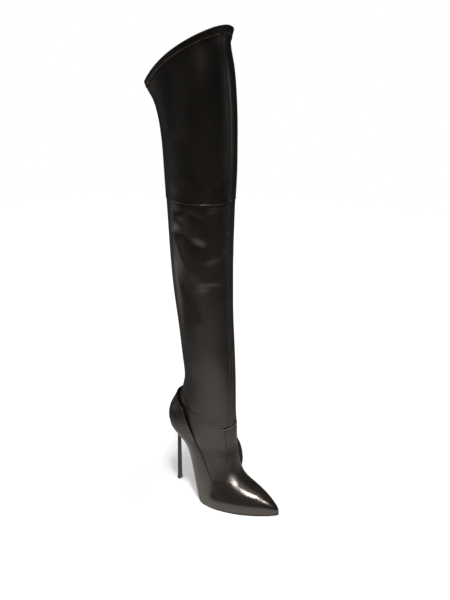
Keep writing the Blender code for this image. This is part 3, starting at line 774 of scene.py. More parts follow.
def steel_finish():
    """Dark plated steel, drawn along the blade, with a little tarnish."""
    looks = bpy.context.scene.boot_looks
    made, tree, shader = new_material("dark_plate")
    place = add_node(tree, "ShaderNodeTexCoord").outputs["Object"]
    drawn = add_node(tree, "ShaderNodeMapping", {
        "Vector": place, "Scale": (2600.0, 2600.0, 40.0)})
    lines = add_node(tree, "ShaderNodeTexNoise", {
        "Vector": drawn.outputs["Vector"], "Scale": 1.0, "Detail": 3.0})
    stain = add_node(tree, "ShaderNodeTexNoise", {
        "Vector": place, "Scale": 90.0, "Detail": 4.0})
    colour = tinted(tree, stain.outputs["Fac"],
                    (*looks.heel_light, 1.0), (*looks.heel_dark, 1.0))
    rough = ranged(tree, lines.outputs["Fac"], (0.0, 1.0), (0.16, 0.34))
    bump = add_node(tree, "ShaderNodeBump", {
        "Height": lines.outputs["Fac"], "Strength": 0.15, "Distance": 0.00002})
    tree.links.new(colour, shader.inputs["Base Color"])
    tree.links.new(rough, shader.inputs["Roughness"])
    tree.links.new(bump.outputs["Normal"], shader.inputs["Normal"])
    set_inputs(shader, Metallic=1.0)
    return made


# --------------------------------------------------------------------- the leathers
def leather_grid(s, folds, lift=0.0):
    """Points, normals, cut coordinates and fold values of the leather through rows s."""
    points, facing, _ = surface(s[:, None], full_turns(s))
    height = relief(points, folds)
    pressed = points + facing * (height + lift + waves(points, *WAVES))[..., None]
    around = run_of(points)
    around -= around[:, SKIN_COLUMNS:SKIN_COLUMNS + 1]
    level = np.broadcast_to(section(s)["front_z"][:, None], around.shape)
    uv = np.stack([around, level], axis=-1) * MM
    return pressed, grid_normals(pressed), uv, height


@lru_cache
def leg_grid():
    """The leather of foot and leg, from the toe to under the thigh piece."""
    leg = rows_between(at("ankle"), float(at_level(KNEE_LEVEL + 2.0)), 2.0)
    rows = np.concatenate([foot_rows(0.0, 1.7), leg[1:]])
    return rows, leather_grid(rows, LEG_FOLDS)


@lru_cache
def thigh_grid():
    """The leather of the thigh piece."""
    rows = rows_between(float(at_level(KNEE_LEVEL + 0.4)), at("rim"), 2.2)
    return rows, leather_grid(rows, THIGH_FOLDS, lift=0.6)


def leg_piece(name, grid, rows, tucked):
    """A mesh of some rows of a leather grid; tucked turns its free edges under."""
    points, facing, uv, height = (part[rows] for part in grid)
    if tucked:
        middle = (points[:, :1] + points[:, -1:]) / 2
        ends = []
        for edge in (points[:, :1], points[:, -1:]):
            reach = np.linalg.norm(middle - edge, axis=-1, keepdims=True)
            share = np.minimum(1.0, TUCK / np.maximum(reach, 0.1))
            ends.append(edge + (middle - edge) * share)
        points = np.concatenate([ends[0], points, ends[1]], axis=1)
        facing, uv, height = (
            np.concatenate([part[:, :1], part, part[:, -1:]], axis=1)
            for part in (facing, uv, height))
    return grid_mesh(name, points, uv=uv, normals=facing, values={"fold": height})


def build_upper():
    rows, grid = leg_grid()
    last = int(np.argmin(np.abs(rows - at("ankle"))))
    mesh = leg_piece("upper_leather", grid, slice(0, last + 1), tucked=True)
    add_piece("upper_leather", mesh, finish("leg"), "upper_leather", "upper")


def build_shaft():
    rows, grid = leg_grid()
    first = int(np.argmin(np.abs(rows - at("ankle"))))
    mesh = leg_piece("shaft_leather", grid, slice(first, None), tucked=False)
    add_piece("shaft_leather", mesh, finish("leg"), "shaft_leather", "shaft")


def build_thigh():
    _, grid = thigh_grid()
    mesh = leg_piece("thigh_leather", grid, slice(None), tucked=False)
    add_piece("thigh_leather", mesh, finish("thigh"), "thigh_leather", "thigh_panel")
    hem = hem_mesh()
    add_piece("hem", hem, finish("thigh"), "thigh_leather")
    piping = piping_mesh()
    add_piece("knee_piping", piping, finish("leg"), "shaft_leather")


def hem_mesh():
    """The turned rim: up the outside, over the top and down the inside."""
    turn = full_turns(np.array([at("rim")]))[0]
    low, high = float(at_level(HEM_LEVEL)), at("rim")
    outside, inside = 1.45, -2.1
    profile = [(low, 0.5, 0.0), (low + 0.012, 1.1, 0.0), (low + 0.035, outside, 0.0)]
    profile += [(s, outside, 0.0) for s in np.linspace(low + 0.1, high, 9)]
    for bow in np.linspace(0.0, math.pi, 11)[1:-1]:
        middle, reach = (outside + inside) / 2, (outside - inside) / 2
        profile.append((high, middle + reach * math.cos(bow), 0.8 * math.sin(bow)))
    profile += [(s, inside, 0.0) for s in np.linspace(high, low, 10)]
    profile.append((low, -1.2, 0.0))
    s = np.array([row[0] for row in profile])[:, None]
    lift = np.array([row[1] for row in profile])[:, None]
    rise = np.array([row[2] for row in profile])[:, None]
    points, facing, up = surface(s, np.broadcast_to(turn, (len(profile), len(turn))))
    height = relief(points, THIGH_FOLDS) + waves(points, *WAVES)
    stand = lift + height
    points = points + facing * stand[..., None] + up * rise[..., None]
    return grid_mesh("hem", points, normals=grid_normals(points))


def piping_mesh():
    """The folded cord of leather let into the seam at the knee."""
    s = float(at_level(KNEE_LEVEL))
    points, facing, up = surface(s, full_turns(np.array([s]))[0])
    bows = np.linspace(-2.2, 2.2, 11)[:, None, None]
    radius = 0.95
    ring = points + facing * (0.15 + radius * np.cos(bows)) + up * radius * np.sin(bows)
    return grid_mesh("knee_piping", ring, normals=grid_normals(ring))


def build_lining():
    rows, grid = leg_grid()
    _, top = thigh_grid()
    first = int(np.searchsorted(rows, at("toe_back")))
    for name, source, start, depth in (
            ("foot_lining", grid, first, LINING_DEPTHS[0]),
            ("thigh_lining", top, 0, LINING_DEPTHS[1])):
        points, facing = source[0][start::3, ::2], source[1][start::3, ::2]
        mesh = grid_mesh(name, points - facing * depth, normals=facing, flip=True)
        add_piece(name, mesh, finish("lining"), "shaft_leather")


# ------------------------------------------------------------------------- the quarter
def topline(s):
    """The topline table read smoothly at parameters s."""
    knots = [at(row[0]) for row in TOPLINE]
    smooth = Spline(knots, np.array([row[1:] for row in TOPLINE]))
    return dict(zip(TOPLINE_COLUMNS, np.moveaxis(smooth(s), -1, 0)))


def quarter_half(s, side, name, body, columns):
    """Inside and outside of one half of the quarter, and the rounded lip between them."""
    top = topline(np.maximum(s, at("seam")))
    turn = even_turns(s, np.arccos(1 - 2 * np.clip(top[name], 0.0, 1.0)), side, columns)
    spread = np.linspace(0.0, 1.0, columns + 1)
    slant = np.clip(1 - (s[:, None] - s[0]) / 1.5, 0.0, 1.0) ** 2
    base, facing, _ = surface(s[:, None] + 0.55 * spread * slant, side * turn)
    edge, far = top[name + "_gap"][:, None], top["far_gap"][:, None]
    if side < 0:
        high = section(s)["front_z"][:, None]
        edge = edge * (0.25 + 0.75 * np.clip((high - 96.0) / 24.0, 0.0, 1.0))
    inner = (far + (edge - far) * (1 - spread) ** GAP_FALL) * (0.08 + 0.92 * body)
    front = np.clip(np.arange(len(s)) / 2.0, 0.0, 1.0)[:, None] ** 0.5
    wall = QUARTER_WALL - 0.5 * (1 - spread) ** 4
    outer = inner + (0.25 + (wall - 0.25) * body) * front
    bow = np.radians((-60.0, -30.0, 0.0, 30.0, 60.0))
    thick = (outer - inner)[:, :1]
    rise = inner[:, :1] + thick * (1 + np.sin(bow)) / 2
    ahead = unit(base[:, :1] - base[:, 1:2])
    lip = base[:, :1] + facing[:, :1] * rise[..., None]
    lip = lip + ahead * (thick / 2 * np.cos(bow))[..., None]
    return base + facing * inner[..., None], lip, base + facing * outer[..., None]


def quarter_rows():
    """Parameters of the quarter's rows, and how far its body has filled out at each."""
    ahead = foot_rows(float(at_level(QUARTER_FRONT)), 1.8)
    behind = rows_between(at("ankle"), at("peak"), 1.0)
    s = np.concatenate([ahead[:1], ahead[:1] + 0.03, ahead[1:], behind[1:]])
    body = np.clip((section(s)["front_z"] - QUARTER_FRONT) / 18.0, 0.0, 1.0)
    return s, (body * body * (3 - 2 * body))[:, None]


def build_quarter(columns=44):
    """Stand the quarter off the upper; it thins to a feather edge towards the front."""
    s, body = quarter_rows()
    inside, lip, outside = quarter_half(s, -1, "outer", body, columns)
    outer = np.concatenate([outside[:, ::-1], lip[:, ::-1], inside], axis=1)
    inside, lip, outside = quarter_half(s, 1, "inner", body, columns)
    inner = np.concatenate([inside[:, ::-1], lip, outside], axis=1)
    points = np.concatenate([outer, inner], axis=1)
    facing = grid_normals(points)
    split = outer.shape[1]
    free = (s < at("seat_back"))[:, None]
    foot = [np.where(free, points[:, j], points[:, k])[:, None]
            for j, k in ((split - 1, 0), (split, -1))]
    points = np.concatenate([foot[0], points, foot[1]], axis=1)
    facing = np.concatenate([facing[:, :1], facing, facing[:, -1:]], axis=1)
    around = run_of(points)
    level = np.broadcast_to(section(s)["front_z"][:, None], around.shape)
    uv = np.stack([around, level], axis=-1) * MM
    mesh = grid_mesh("quarter_leather", points, uv=uv, skip_after=(split,), normals=facing)
    add_piece("quarter_leather", mesh, finish("quarter"), "quarter_leather", "quarter")
    lined = slice(split - columns + 1, split + columns + 1)
    points, facing, uv = points[1:, lined], facing[1:, lined], uv[1:, lined]
    mesh = grid_mesh("quarter_lining", points + 0.12 * facing, uv=uv,
                     skip_after=(columns - 1,), normals=facing)
    add_piece("quarter_lining", mesh, finish("lining"), "quarter_leather")


# --------------------------------------------------------------------- trim on the front
def band_middle(level):
    """Sideways place of the front band at a level."""
    rows = np.array(BAND_LINE)
    return Spline(rows[:, 0], rows[:, 1:])(level)[..., 0]


def band_rise(level):
    """How far the front band is carried out by what it crosses."""
    hem = np.clip((level - HEM_LEVEL + 1.5) / 1.5, 0.0, 1.0) * 0.75
    knee = np.exp(-((level - KNEE_LEVEL) / 2.2) ** 2) * 0.9
    return hem + knee + 0.6 * np.clip((level - KNEE_LEVEL + 1) / 2, 0.0, 1.0)


def build_band():
    width = bpy.context.scene.boot_sizes.band_width
    level = np.arange(132.8, 780.0, 1.9)
    s = at_level(level)
    across, lift, seam = strip_profile(width, 7)
    turn = np.stack([turn_at_x(s, band_middle(level) + a) for a in across], axis=1)
    raised = 0.8 * lift + band_rise(level)[:, None]
    mesh = laid_patch("front_band", s[:, None] + 0 * turn, turn, raised,
                      folds=LEG_FOLDS + THIGH_FOLDS, seam=seam)
    add_piece("front_band", mesh, finish("leg"), "shaft_leather")


def build_strip():
    rows = np.array(STRIP_EDGES)
    level = np.arange(62.0, 132.6, 0.9)
    edges = Spline(rows[:, 0], rows[:, 1:])(level)
    s = at_level(level)
    fade = np.clip((level - 66.0) / 12.0, 0.0, 1.0)[:, None]
    drawn_half = 15.0     # half the width at which the strip's profile is drawn
    across, lift, seam = strip_profile(2 * drawn_half, 29)
    middle, half = edges.mean(axis=1), (edges[:, 1] - edges[:, 0])[:, None] / 2
    inwards = drawn_half - np.abs(across)
    stretched = np.sign(across) * (half - inwards * np.where(
        inwards < 1.2, 1.0, half / drawn_half))
    turn = np.stack([turn_at_x(s, middle + place) for place in stretched.T], axis=1)
    raised = 0.75 * lift * fade + 0.02
    mesh = laid_patch("throat_strip", s[:, None] + 0 * turn, turn, raised,
                      folds=LEG_FOLDS, seam=seam * fade)
    add_piece("throat_strip", mesh, finish("leg"), "upper_leather")


def build_bar():
    """The corded bar over the top of the throat strip, and the dark seam it lies in.

    The seam is a near-black bed, partly painted shade under the cord, and the cord is
    darkened towards its flanks as painted shade.
    """
    x = np.linspace(*BAR_ENDS, 70)
    end = np.clip((1 - np.abs(np.linspace(-1.0, 1.0, 70))) / 0.05, 0.0, 1.0) ** 0.5
    line = BAR_START[1] + BAR_SLOPE * (x - BAR_START[0])
    bed = np.linspace(-1.0, 1.0, 11)[:, None]
    bow = np.array([-1.35, -1.1, -1.0, -0.85, -0.6, -0.35, -0.15, 0.0, 0.15, 0.35, 0.6,
                    0.85, 1.0])[:, None]
    ridge = np.sqrt(np.maximum(1 - np.minimum(np.abs(bow), 1.0) ** 2, 0.0))
    # Painted shade: the cord darkens towards its flanks, where it meets the bed.
    dark = np.clip((np.abs(bow) - 0.55) / 0.25, 0.0, 1.0)
    for name, across, reach, high, seam, made in (
            # The bed is near black all over: a seam, partly painted shade under the cord.
            ("throat_bar_seam_shade", bed, BAR_BED, 0.95 * (1 - bed**4), 1 + 0 * bed, "sole"),
            ("throat_bar", bow, BAR_REACH, 2.1 * ridge, dark, "thread")):
        s = at_level(line + reach * across * (0.5 + 0.5 * end))
        turn = np.stack([turn_at_x(row, x) for row in s])
        mesh = laid_patch(name, s, turn, high * end + 0.1, folds=LEG_FOLDS,
                          seam=seam * np.ones_like(turn))
        add_piece(name, mesh, finish(made), "upper_leather")


# --------------------------------------------------------------------------- stitching
@lru_cache
def stitch_tree():
    """Lays rounded stitches along a seam line, level or in a zigzag."""
    inputs = (
        ("Seam Line", "NodeSocketGeometry", None),
        ("Stitch Spacing", "NodeSocketFloat", 0.003),
        ("Stitch Length", "NodeSocketFloat", 0.0024),
        ("Thread Thickness", "NodeSocketFloat", 0.0006),
        ("Zigzag Angle", "NodeSocketFloat", 0.0),
        ("Unevenness", "NodeSocketFloat", 0.06),
        ("Seed", "NodeSocketInt", 7),
        ("Thread", "NodeSocketMaterial", None),
    )
    outputs = (("Stitches", "NodeSocketGeometry"),)
    tree, given, made = new_group("Stitch Row", inputs, outputs, kind="GeometryNodeTree")
    curve = add_node(tree, "GeometryNodeMeshToCurve", {"Mesh": given.outputs["Seam Line"]})
    spots = add_node(tree, "GeometryNodeCurveToPoints", {
        "Curve": curve.outputs["Curve"], "Length": given.outputs["Stitch Spacing"]},
        mode="LENGTH")
    out = add_node(tree, "GeometryNodeInputNamedAttribute", {"Name": "out"},
                   data_type="FLOAT_VECTOR")
    lie = add_node(tree, "FunctionNodeAxesToRotation", {
        "Primary Axis": out.outputs["Attribute"],
        "Secondary Axis": spots.outputs["Tangent"]}, primary_axis="Z", secondary_axis="X")
    index = add_node(tree, "GeometryNodeInputIndex")
    parity = maths(tree, "MODULO", index.outputs["Index"], 2.0)
    sway = maths(tree, "MULTIPLY_ADD", parity, 2.0, -1.0)
    chance = add_node(tree, "FunctionNodeRandomValue", {
        "Min": -1.0, "Max": 1.0, "Seed": given.outputs["Seed"]}, data_type="FLOAT")
    chance.inputs[2].default_value, chance.inputs[3].default_value = -1.0, 1.0
    drift = maths(tree, "MULTIPLY", chance.outputs[1], given.outputs["Unevenness"])
    angle = maths(tree, "MULTIPLY_ADD", sway, given.outputs["Zigzag Angle"], drift)
    swing = add_node(tree, "FunctionNodeAxisAngleToRotation", {
        "Axis": (0.0, 0.0, 1.0), "Angle": angle})
    turned = add_node(tree, "FunctionNodeRotateRotation", {
        "Rotation": lie.outputs["Rotation"], "Rotate By": swing.outputs["Rotation"]},
        rotation_space="LOCAL")
    half = maths(tree, "MULTIPLY", given.outputs["Stitch Length"], 0.5)
    thick = maths(tree, "MULTIPLY", given.outputs["Thread Thickness"], 0.5)
    size = add_node(tree, "ShaderNodeCombineXYZ", {"X": half, "Y": thick, "Z": thick})
    bead = add_node(tree, "GeometryNodeMeshUVSphere", {
        "Segments": 8, "Rings": 5, "Radius": 1.0})
    laid = add_node(tree, "GeometryNodeInstanceOnPoints", {
        "Points": spots.outputs["Points"], "Instance": bead.outputs["Mesh"],
        "Rotation": turned.outputs["Rotation"], "Scale": size.outputs["Vector"]})
    real = add_node(tree, "GeometryNodeRealizeInstances", {
        "Geometry": laid.outputs["Instances"]})
    smooth = add_node(tree, "GeometryNodeSetShadeSmooth", {
        "Geometry": real.outputs["Geometry"]})
    dyed = add_node(tree, "GeometryNodeSetMaterial", {
        "Geometry": smooth.outputs["Geometry"], "Material": given.outputs["Thread"]})
    tree.links.new(dyed.outputs["Geometry"], made.inputs["Stitches"])
    return tree


def seam_line(s, turn, lift, folds=()):
    """Points and outward directions of a line laid on the skin."""
    points, facing, _ = surface(s, turn)
    height = lift + relief(points, folds) + waves(points, *WAVES)
    return points + facing * height[..., None], facing


def stitch_piece(name, lines, thread, slot, **sizes):
    """Stitches along lines of points and outward directions."""
    mesh = bpy.data.meshes.new(name)
    points, facing, edges = [], [], []
    for line, out in lines:
        start = sum(len(part) for part in points)
        edges += [(start + i, start + i + 1) for i in range(len(line) - 1)]
        points.append(line)
        facing.append(out)
    mesh.from_pydata(metres(np.concatenate(points)), edges, [])
    attribute = mesh.attributes.new("out", "FLOAT_VECTOR", "POINT")
    attribute.data.foreach_set("vector", np.concatenate(facing).ravel())
    source = bpy.data.objects.new(name, mesh)
    bpy.context.scene.collection.objects.link(source)
    tree = stitch_tree()
    modifier = source.modifiers.new("Stitches", "NODES")
    modifier.node_group = tree
    sockets = {item.name: item.identifier for item in tree.interface.items_tree
               if item.item_type == "SOCKET" and item.in_out == "INPUT"}
    for label, value in sizes.items():
        modifier[sockets[label.replace("_", " ")]] = value
    modifier[sockets["Thread"]] = thread
    result = evaluated(source, name)
    if not result.polygons:
        raise RuntimeError(f"no stitches were laid for {name}")
    add_piece(name, result, thread, slot)


def build_stitching():
    width = bpy.context.scene.boot_sizes.band_width
    level = np.arange(138.0, 764.0, 1.5)
    s = at_level(level)
    lines = []
    for side in (-1, 1):
        turn = turn_at_x(s, band_middle(level) + side * (width / 2 - 1.4))
        lines.append(seam_line(s, turn, 0.78 + band_rise(level), LEG_FOLDS + THIGH_FOLDS))
    stitch_piece("band_stitches", lines, finish("thread"), "shaft_leather",
                 Stitch_Spacing=0.0028, Stitch_Length=0.0022, Thread_Thickness=0.0005)
    lines = []
    for start, end in ((-180, -6), (8, 180)):
        turn = np.radians(np.linspace(start, end, 300))
        rows = np.full(len(turn), float(at_level(HEM_LEVEL + 2.2)))
        lines.append(seam_line(rows, turn, 1.45, THIGH_FOLDS))
    stitch_piece("hem_stitches", lines, finish("hem_thread"), "thigh_leather",
                 Stitch_Spacing=0.0020, Stitch_Length=0.0034, Thread_Thickness=0.0006,
                 Zigzag_Angle=math.radians(50))


# ------------------------------------------------------------------- soles and the heel
def bottom_grid(inset, narrowest, columns=24):
    """Rows across the bottom of the last, inside the upper's edge all round."""
    s = np.concatenate([rows_between(0.0, at("seat_front"), 2.0)[:-1], heel_rows(2.0)])
    row = section(s)
    ends = np.stack([row["far_u"], row["far_z"]], axis=1)
    along = np.cumsum(np.linalg.norm(np.diff(ends, axis=0, prepend=ends[:1]), axis=1))
    half = row["half"] * row["edge"]
    taper = np.gradient(half, along + 1e-6 * np.arange(len(s)))
    half = half - inset * np.sqrt(1 + taper**2)
    keep = half > narrowest
    across = half[keep][:, None] * np.linspace(-1.0, 1.0, columns + 1)
    x = row["far_x"][keep][:, None] + across
    return np.stack([x, -row["far_u"][keep][:, None] + 0 * x,
                     row["far_z"][keep][:, None] + 0 * x], axis=-1)


def plate(name, inset, narrowest, lift, thickness, offset):
    """A sole plate with softened edges."""
    points = bottom_grid(inset, narrowest)
    points = points + grid_normals(points) * lift
    return baked(name, grid_mesh(name, points),
                 ("SOLIDIFY", {"thickness": thickness * MM, "offset": offset,
                               "use_even_offset": False}),
                 ("BEVEL", {"width": SOLE_BEVEL * MM, "segments": 3,
                            "limit_method": "ANGLE",
                            "angle_limit": math.radians(50), "harden_normals": True}))


def build_soles():
    outsole = plate("outsole_leather", 0.6, 0.15, -0.45, SOLE_WALL, -1.0)
    add_piece("outsole_leather", outsole, finish("sole"), "outsole_leather", "outsole")
    insole = plate("insole_sock", 2.8, 3.0, 0.0, 1.4, 1.0)
    add_piece("insole_sock", insole, finish("sock"), "insole_leather", "insole")


def seat_height(u):
    """Height of the outsole's underside at the heel seat, less the clearance."""
    s = np.linspace(at("seat_back"), at("waist_high"), 60)
    row = section(s)
    slope = np.gradient(row["far_z"], row["far_u"])
    drop = (SOLE_WALL + SEAT_CLEARANCE) * np.sqrt(1 + slope**2)
    return np.interp(u, row["far_u"], row["far_z"] - drop)


def blade_ring(centre_u, centre_x, depth, width, power, facets=64):
    """Sideways and forward places round a rounded rectangle, or an oval at power 2."""
    turn = np.linspace(0.0, 2 * math.pi, facets + 1)
    across = np.sign(np.cos(turn)) * np.abs(np.cos(turn)) ** (2 / power)
    along = np.sign(np.sin(turn)) * np.abs(np.sin(turn)) ** (2 / power)
    return centre_x + across * width / 2, centre_u - along * depth / 2


def build_heel():
    rings = []
    ahead, side = BLADE_PLACE
    depth, width = BLADE_SIZE

    def ring(centre_u, centre_x, depth, width, power, share, level):
        x, u = blade_ring(centre_u, centre_x, depth, width, power)
        z = level + (seat_height(u) - level) * share
        rings.append(np.stack([x, -u, z], axis=1))

    ring(ahead, side, 0.0, 0.0, 7.0, 0.0, BLADE_FOOT)
    for inset, rise in ((0.5, 0.0), (0.12, 0.12), (0.0, 0.5)):
        ring(ahead, side, depth - 2 * inset, width - 2 * inset, 7.0, 0.0,
             BLADE_FOOT + rise)
    for share in np.linspace(0.0, 1.0, 24)[1:]:
        ring(ahead, side, depth, width - 3.2 * share, 7.0, 0.0,
             BLADE_FOOT + (BLADE_TOP - BLADE_FOOT) * share)
    for share in np.linspace(0.0, 1.0, 22)[1:]:
        spread = share**2.5
        power = 7.0 + (2.2 - 7.0) * min(1.0, 1.6 * share)
        ring(ahead + 10.5 * spread, side * (1 - spread), depth + 25.0 * spread,
             4.2 + 20.8 * spread, power, share, BLADE_TOP)
    for share in (0.6, 0.3, 0.0):
        ring(9.0, 0.0, 30.0 * share, 25.0 * share, 2.2, 1.0, BLADE_TOP)
    mesh = grid_mesh("heel_blade", np.array(rings))
    add_piece("heel_blade", mesh, finish("steel"), "heel_steel", "heel")


def build_top_piece():
    rings = []

    def ring(inset, z):
        x, u = blade_ring(*BLADE_PLACE, 5.8 - 2 * inset, 8.2 - 2 * inset, 8.0)
        rings.append(np.stack([x, -u, z + 0 * x], axis=1))

    for inset, z in ((2.9, 0.0), (0.55, 0.0), (0.16, 0.16), (0.0, 0.55), (0.0, 2.6),
                     (0.22, 2.8), (0.22, 3.1), (0.0, 3.3), (0.0, 5.7), (0.3, 6.35),
                     (0.7, 6.5), (2.9, 6.5)):
        ring(inset, z)
    for rings_end in (0, -1):
        rings[rings_end][:, :2] = rings[rings_end][:, :2].mean(axis=0)
    mesh = grid_mesh("heel_top_piece", np.array(rings))
    mesh.set_sharp_from_angle(angle=math.radians(50))
    add_piece("heel_top_piece", mesh, finish("rubber"), "top_piece_rubber", "top_piece")


# ------------------------------------------------------------------------- the studio
def build_stage():
    stage = bpy.context.scene.boot_stage
    build_floor(stage)
    build_world(stage)
    for name, place, target, size, spread, power in SOFTBOXES:
        build_softbox(name, place, target, size, spread, power * stage.light_strength)
    build_camera()
    bpy.context.scene.view_settings.view_transform = "Standard"


def build_floor(stage):
    """A round, pale light table: it glows under the boot and dies away outwards."""
    mesh = bpy.data.meshes.new("floor")
    shape = bmesh.new()
    bmesh.ops.create_circle(shape, cap_ends=True, segments=96, radius=stage.floor_radius,
                            matrix=Matrix.Translation(FLOOR_PLACE))
    shape.to_mesh(mesh)
    shape.free()
    floor = bpy.data.objects.new("floor", mesh)
    bpy.context.scene.collection.objects.link(floor)
    made, tree, shader = new_material("studio_floor")
    place = add_node(tree, "ShaderNodeTexCoord").outputs["Object"]
    reach = add_node(tree, "ShaderNodeVectorMath", {0: place}, operation="LENGTH")
    ahead = add_node(tree, "ShaderNodeVectorMath", {0: place, 1: NEAR_GLOW},
                     operation="DISTANCE")
    near = ranged(tree, ahead.outputs["Value"], (NEAR_START, stage.glow_reach),
                  (stage.floor_glow, 0.0), "SMOOTHERSTEP")
    drawn = add_node(tree, "ShaderNodeVectorMath", {0: place, 1: FAR_STRETCH},
                     operation="MULTIPLY")
    behind = add_node(tree, "ShaderNodeVectorMath", {
        0: drawn.outputs["Vector"], 1: FAR_GLOW}, operation="DISTANCE")
    beyond = ranged(tree, behind.outputs["Value"], FAR_RANGE, FAR_STRENGTH, "SMOOTHERSTEP")
    glow = maths(tree, "ADD", near, beyond)
    white = ranged(tree, reach.outputs["Value"], WHITE_RANGE, (stage.floor_white, 1.0),
                   "SMOOTHSTEP")
    seen = add_node(tree, "ShaderNodeLightPath").outputs["Is Camera Ray"]
    strength = add_node(tree, "ShaderNodeMix", {0: seen, 2: glow, 3: white}).outputs[0]
    shade = tinted(tree, seen, MIRRORED_SHADE, SEEN_SHADE)
    tree.links.new(strength, shader.inputs["Emission Strength"])
    tree.links.new(shade, shader.inputs["Base Color"])
    set_inputs(shader, Roughness=0.8, Specular_IOR_Level=0.0,
               Emission_Color=(1.0, 1.0, 1.0, 1.0))
    mesh.materials.append(made)


def build_world(stage):
    """White behind the boot, and a dim grey room for everything else."""
    world = bpy.data.worlds.new("studio")
    bpy.context.scene.world = world
    world.use_nodes = True
    tree = world.node_tree
    room = tree.nodes["Background"]
    room.inputs["Color"].default_value = (1.0, 1.0, 1.0, 1.0)
    room.inputs["Strength"].default_value = stage.room_strength
    backdrop = add_node(tree, "ShaderNodeBackground", {
        "Color": (1.0, 1.0, 1.0, 1.0), "Strength": 1.0})
    seen = add_node(tree, "ShaderNodeLightPath").outputs["Is Camera Ray"]
    both = add_node(tree, "ShaderNodeMixShader", {
        0: seen, 1: room.outputs["Background"], 2: backdrop.outputs["Background"]})
    tree.links.new(both.outputs["Shader"], tree.nodes["World Output"].inputs["Surface"])


def build_softbox(name, place, target, size, spread, power):
    """A rectangular softbox aimed at a point, with its second side along the aim's rise."""
    lamp = bpy.data.lights.new(name, "AREA")
    lamp.shape = "RECTANGLE"
    lamp.size, lamp.size_y = size
    lamp.spread = math.radians(spread)
    lamp.energy = power
    holder = bpy.data.objects.new(name, lamp)
    holder.location = place
    aim = Vector(target) - Vector(place)
    holder.rotation_euler = aim.to_track_quat("-Z", "Y").to_euler()
    bpy.context.scene.collection.objects.link(holder)


def build_camera():
    """A long lens from the front and outer side, a little above the rim."""
    lens = bpy.data.cameras.new("camera")
    lens.lens = CAMERA_LENS
    camera = bpy.data.objects.new("camera", lens)
    bpy.context.scene.collection.objects.link(camera)
    ahead = Vector(CAMERA_AHEAD).normalized()
    right = Vector(CAMERA_RIGHT).normalized()
    upward = right.cross(ahead).normalized()
    axes = Matrix((right, upward, -ahead)).transposed()
    camera.matrix_world = Matrix.Translation(CAMERA_PLACE) @ axes.to_4x4()
    bpy.context.scene.camera = camera


# ---------------------------------------------------------------- settings and buttons
def colour_property(label, about, default):
    return bpy.props.FloatVectorProperty(
        name=label, description=about, default=default, subtype="COLOR", size=3,
        min=0.0, max=1.0)


class BootSizes(bpy.types.PropertyGroup):
    """Sizes of the trim that a user may change."""

    band_width: bpy.props.FloatProperty(
        name="Band Width", description="Width of the front band in millimetres",
        default=7.8, min=3.0, max=20.0)


class BootLooks(bpy.types.PropertyGroup):
    """Colours and gloss of the finishes."""

    leg_dark: colour_property(
        "Leg, Deep", "Deep tone of the foot and leg leather", (0.0065, 0.0054, 0.0046))
    leg_light: colour_property(
        "Leg, Worn", "Worn tone of the foot and leg leather", (0.0120, 0.0100, 0.0085))
    thigh_dark: colour_property(
        "Thigh, Deep", "Deep tone of the thigh leather", (0.0028, 0.0023, 0.0018))
    thigh_light: colour_property(
        "Thigh, Worn", "Worn tone of the thigh leather", (0.0060, 0.0050, 0.0040))
    quarter_dark: colour_property(
        "Quarter, Deep", "Deep tone of the quarter's leather", (0.0040, 0.0034, 0.0028))
    quarter_light: colour_property(
        "Quarter, Worn", "Worn tone of the quarter's leather", (0.0080, 0.0068, 0.0058))
    heel_dark: colour_property(
        "Heel, Deep", "Deep tone of the plated heel", (0.018, 0.017, 0.016))
    heel_light: colour_property(
        "Heel, Bright", "Bright tone of the plated heel", (0.050, 0.048, 0.045))
    leg_roughness: bpy.props.FloatProperty(
        name="Leg Roughness", description="Roughness of the leg leather",
        default=0.30, min=0.0, max=1.0, subtype="FACTOR")
    toe_polish: bpy.props.FloatProperty(
        name="Toe Polish", description="Share of the roughness left at the toe",
        default=0.55, min=0.0, max=1.0, subtype="FACTOR")
    quarter_roughness: bpy.props.FloatProperty(
        name="Quarter Roughness", description="Roughness of the quarter's leather",
        default=0.17, min=0.0, max=1.0, subtype="FACTOR")
    thigh_roughness: bpy.props.FloatProperty(
        name="Thigh Roughness", description="Roughness of the thigh leather",
        default=0.40, min=0.0, max=1.0, subtype="FACTOR")


class BootStage(bpy.types.PropertyGroup):
    """Floor, room and lights."""

    floor_radius: bpy.props.FloatProperty(
        name="Floor Radius", description="Radius of the round floor",
        default=1.35, min=0.5, unit="LENGTH")
    floor_glow: bpy.props.FloatProperty(
        name="Floor Glow", description="Light that the floor gives under the boot",
        default=1.65, min=0.0)
    glow_reach: bpy.props.FloatProperty(
        name="Glow Reach", description="How far out the floor's glow dies away",
        default=0.62, min=0.1, unit="LENGTH")
    floor_white: bpy.props.FloatProperty(
        name="Floor White", description="Glow of the floor that the camera sees",
        default=0.40, min=0.0)
    room_strength: bpy.props.FloatProperty(
        name="Room Light", description="Strength of the room's own light",
        default=0.035, min=0.0)
    light_strength: bpy.props.FloatProperty(
        name="Light Strength", description="Scales the power of every softbox",
        default=1.0, min=0.0)


class BOOT_OT_upper(bpy.types.Operator):
    """Cut the foot's leather from the last"""

    bl_idname = "boot.upper"
    bl_label = "Upper"

    def execute(self, context):
        build_upper()
        return {"FINISHED"}


class BOOT_OT_shaft(bpy.types.Operator):
    """Cut the leg's leather, up to the knee"""

    bl_idname = "boot.shaft"
    bl_label = "Shaft"

    def execute(self, context):
        build_shaft()
        return {"FINISHED"}


class BOOT_OT_thigh(bpy.types.Operator):
    """Cut the thigh piece, with its turned hem and the piping at the knee"""

    bl_idname = "boot.thigh"
    bl_label = "Thigh Piece"

    def execute(self, context):
        build_thigh()
        return {"FINISHED"}


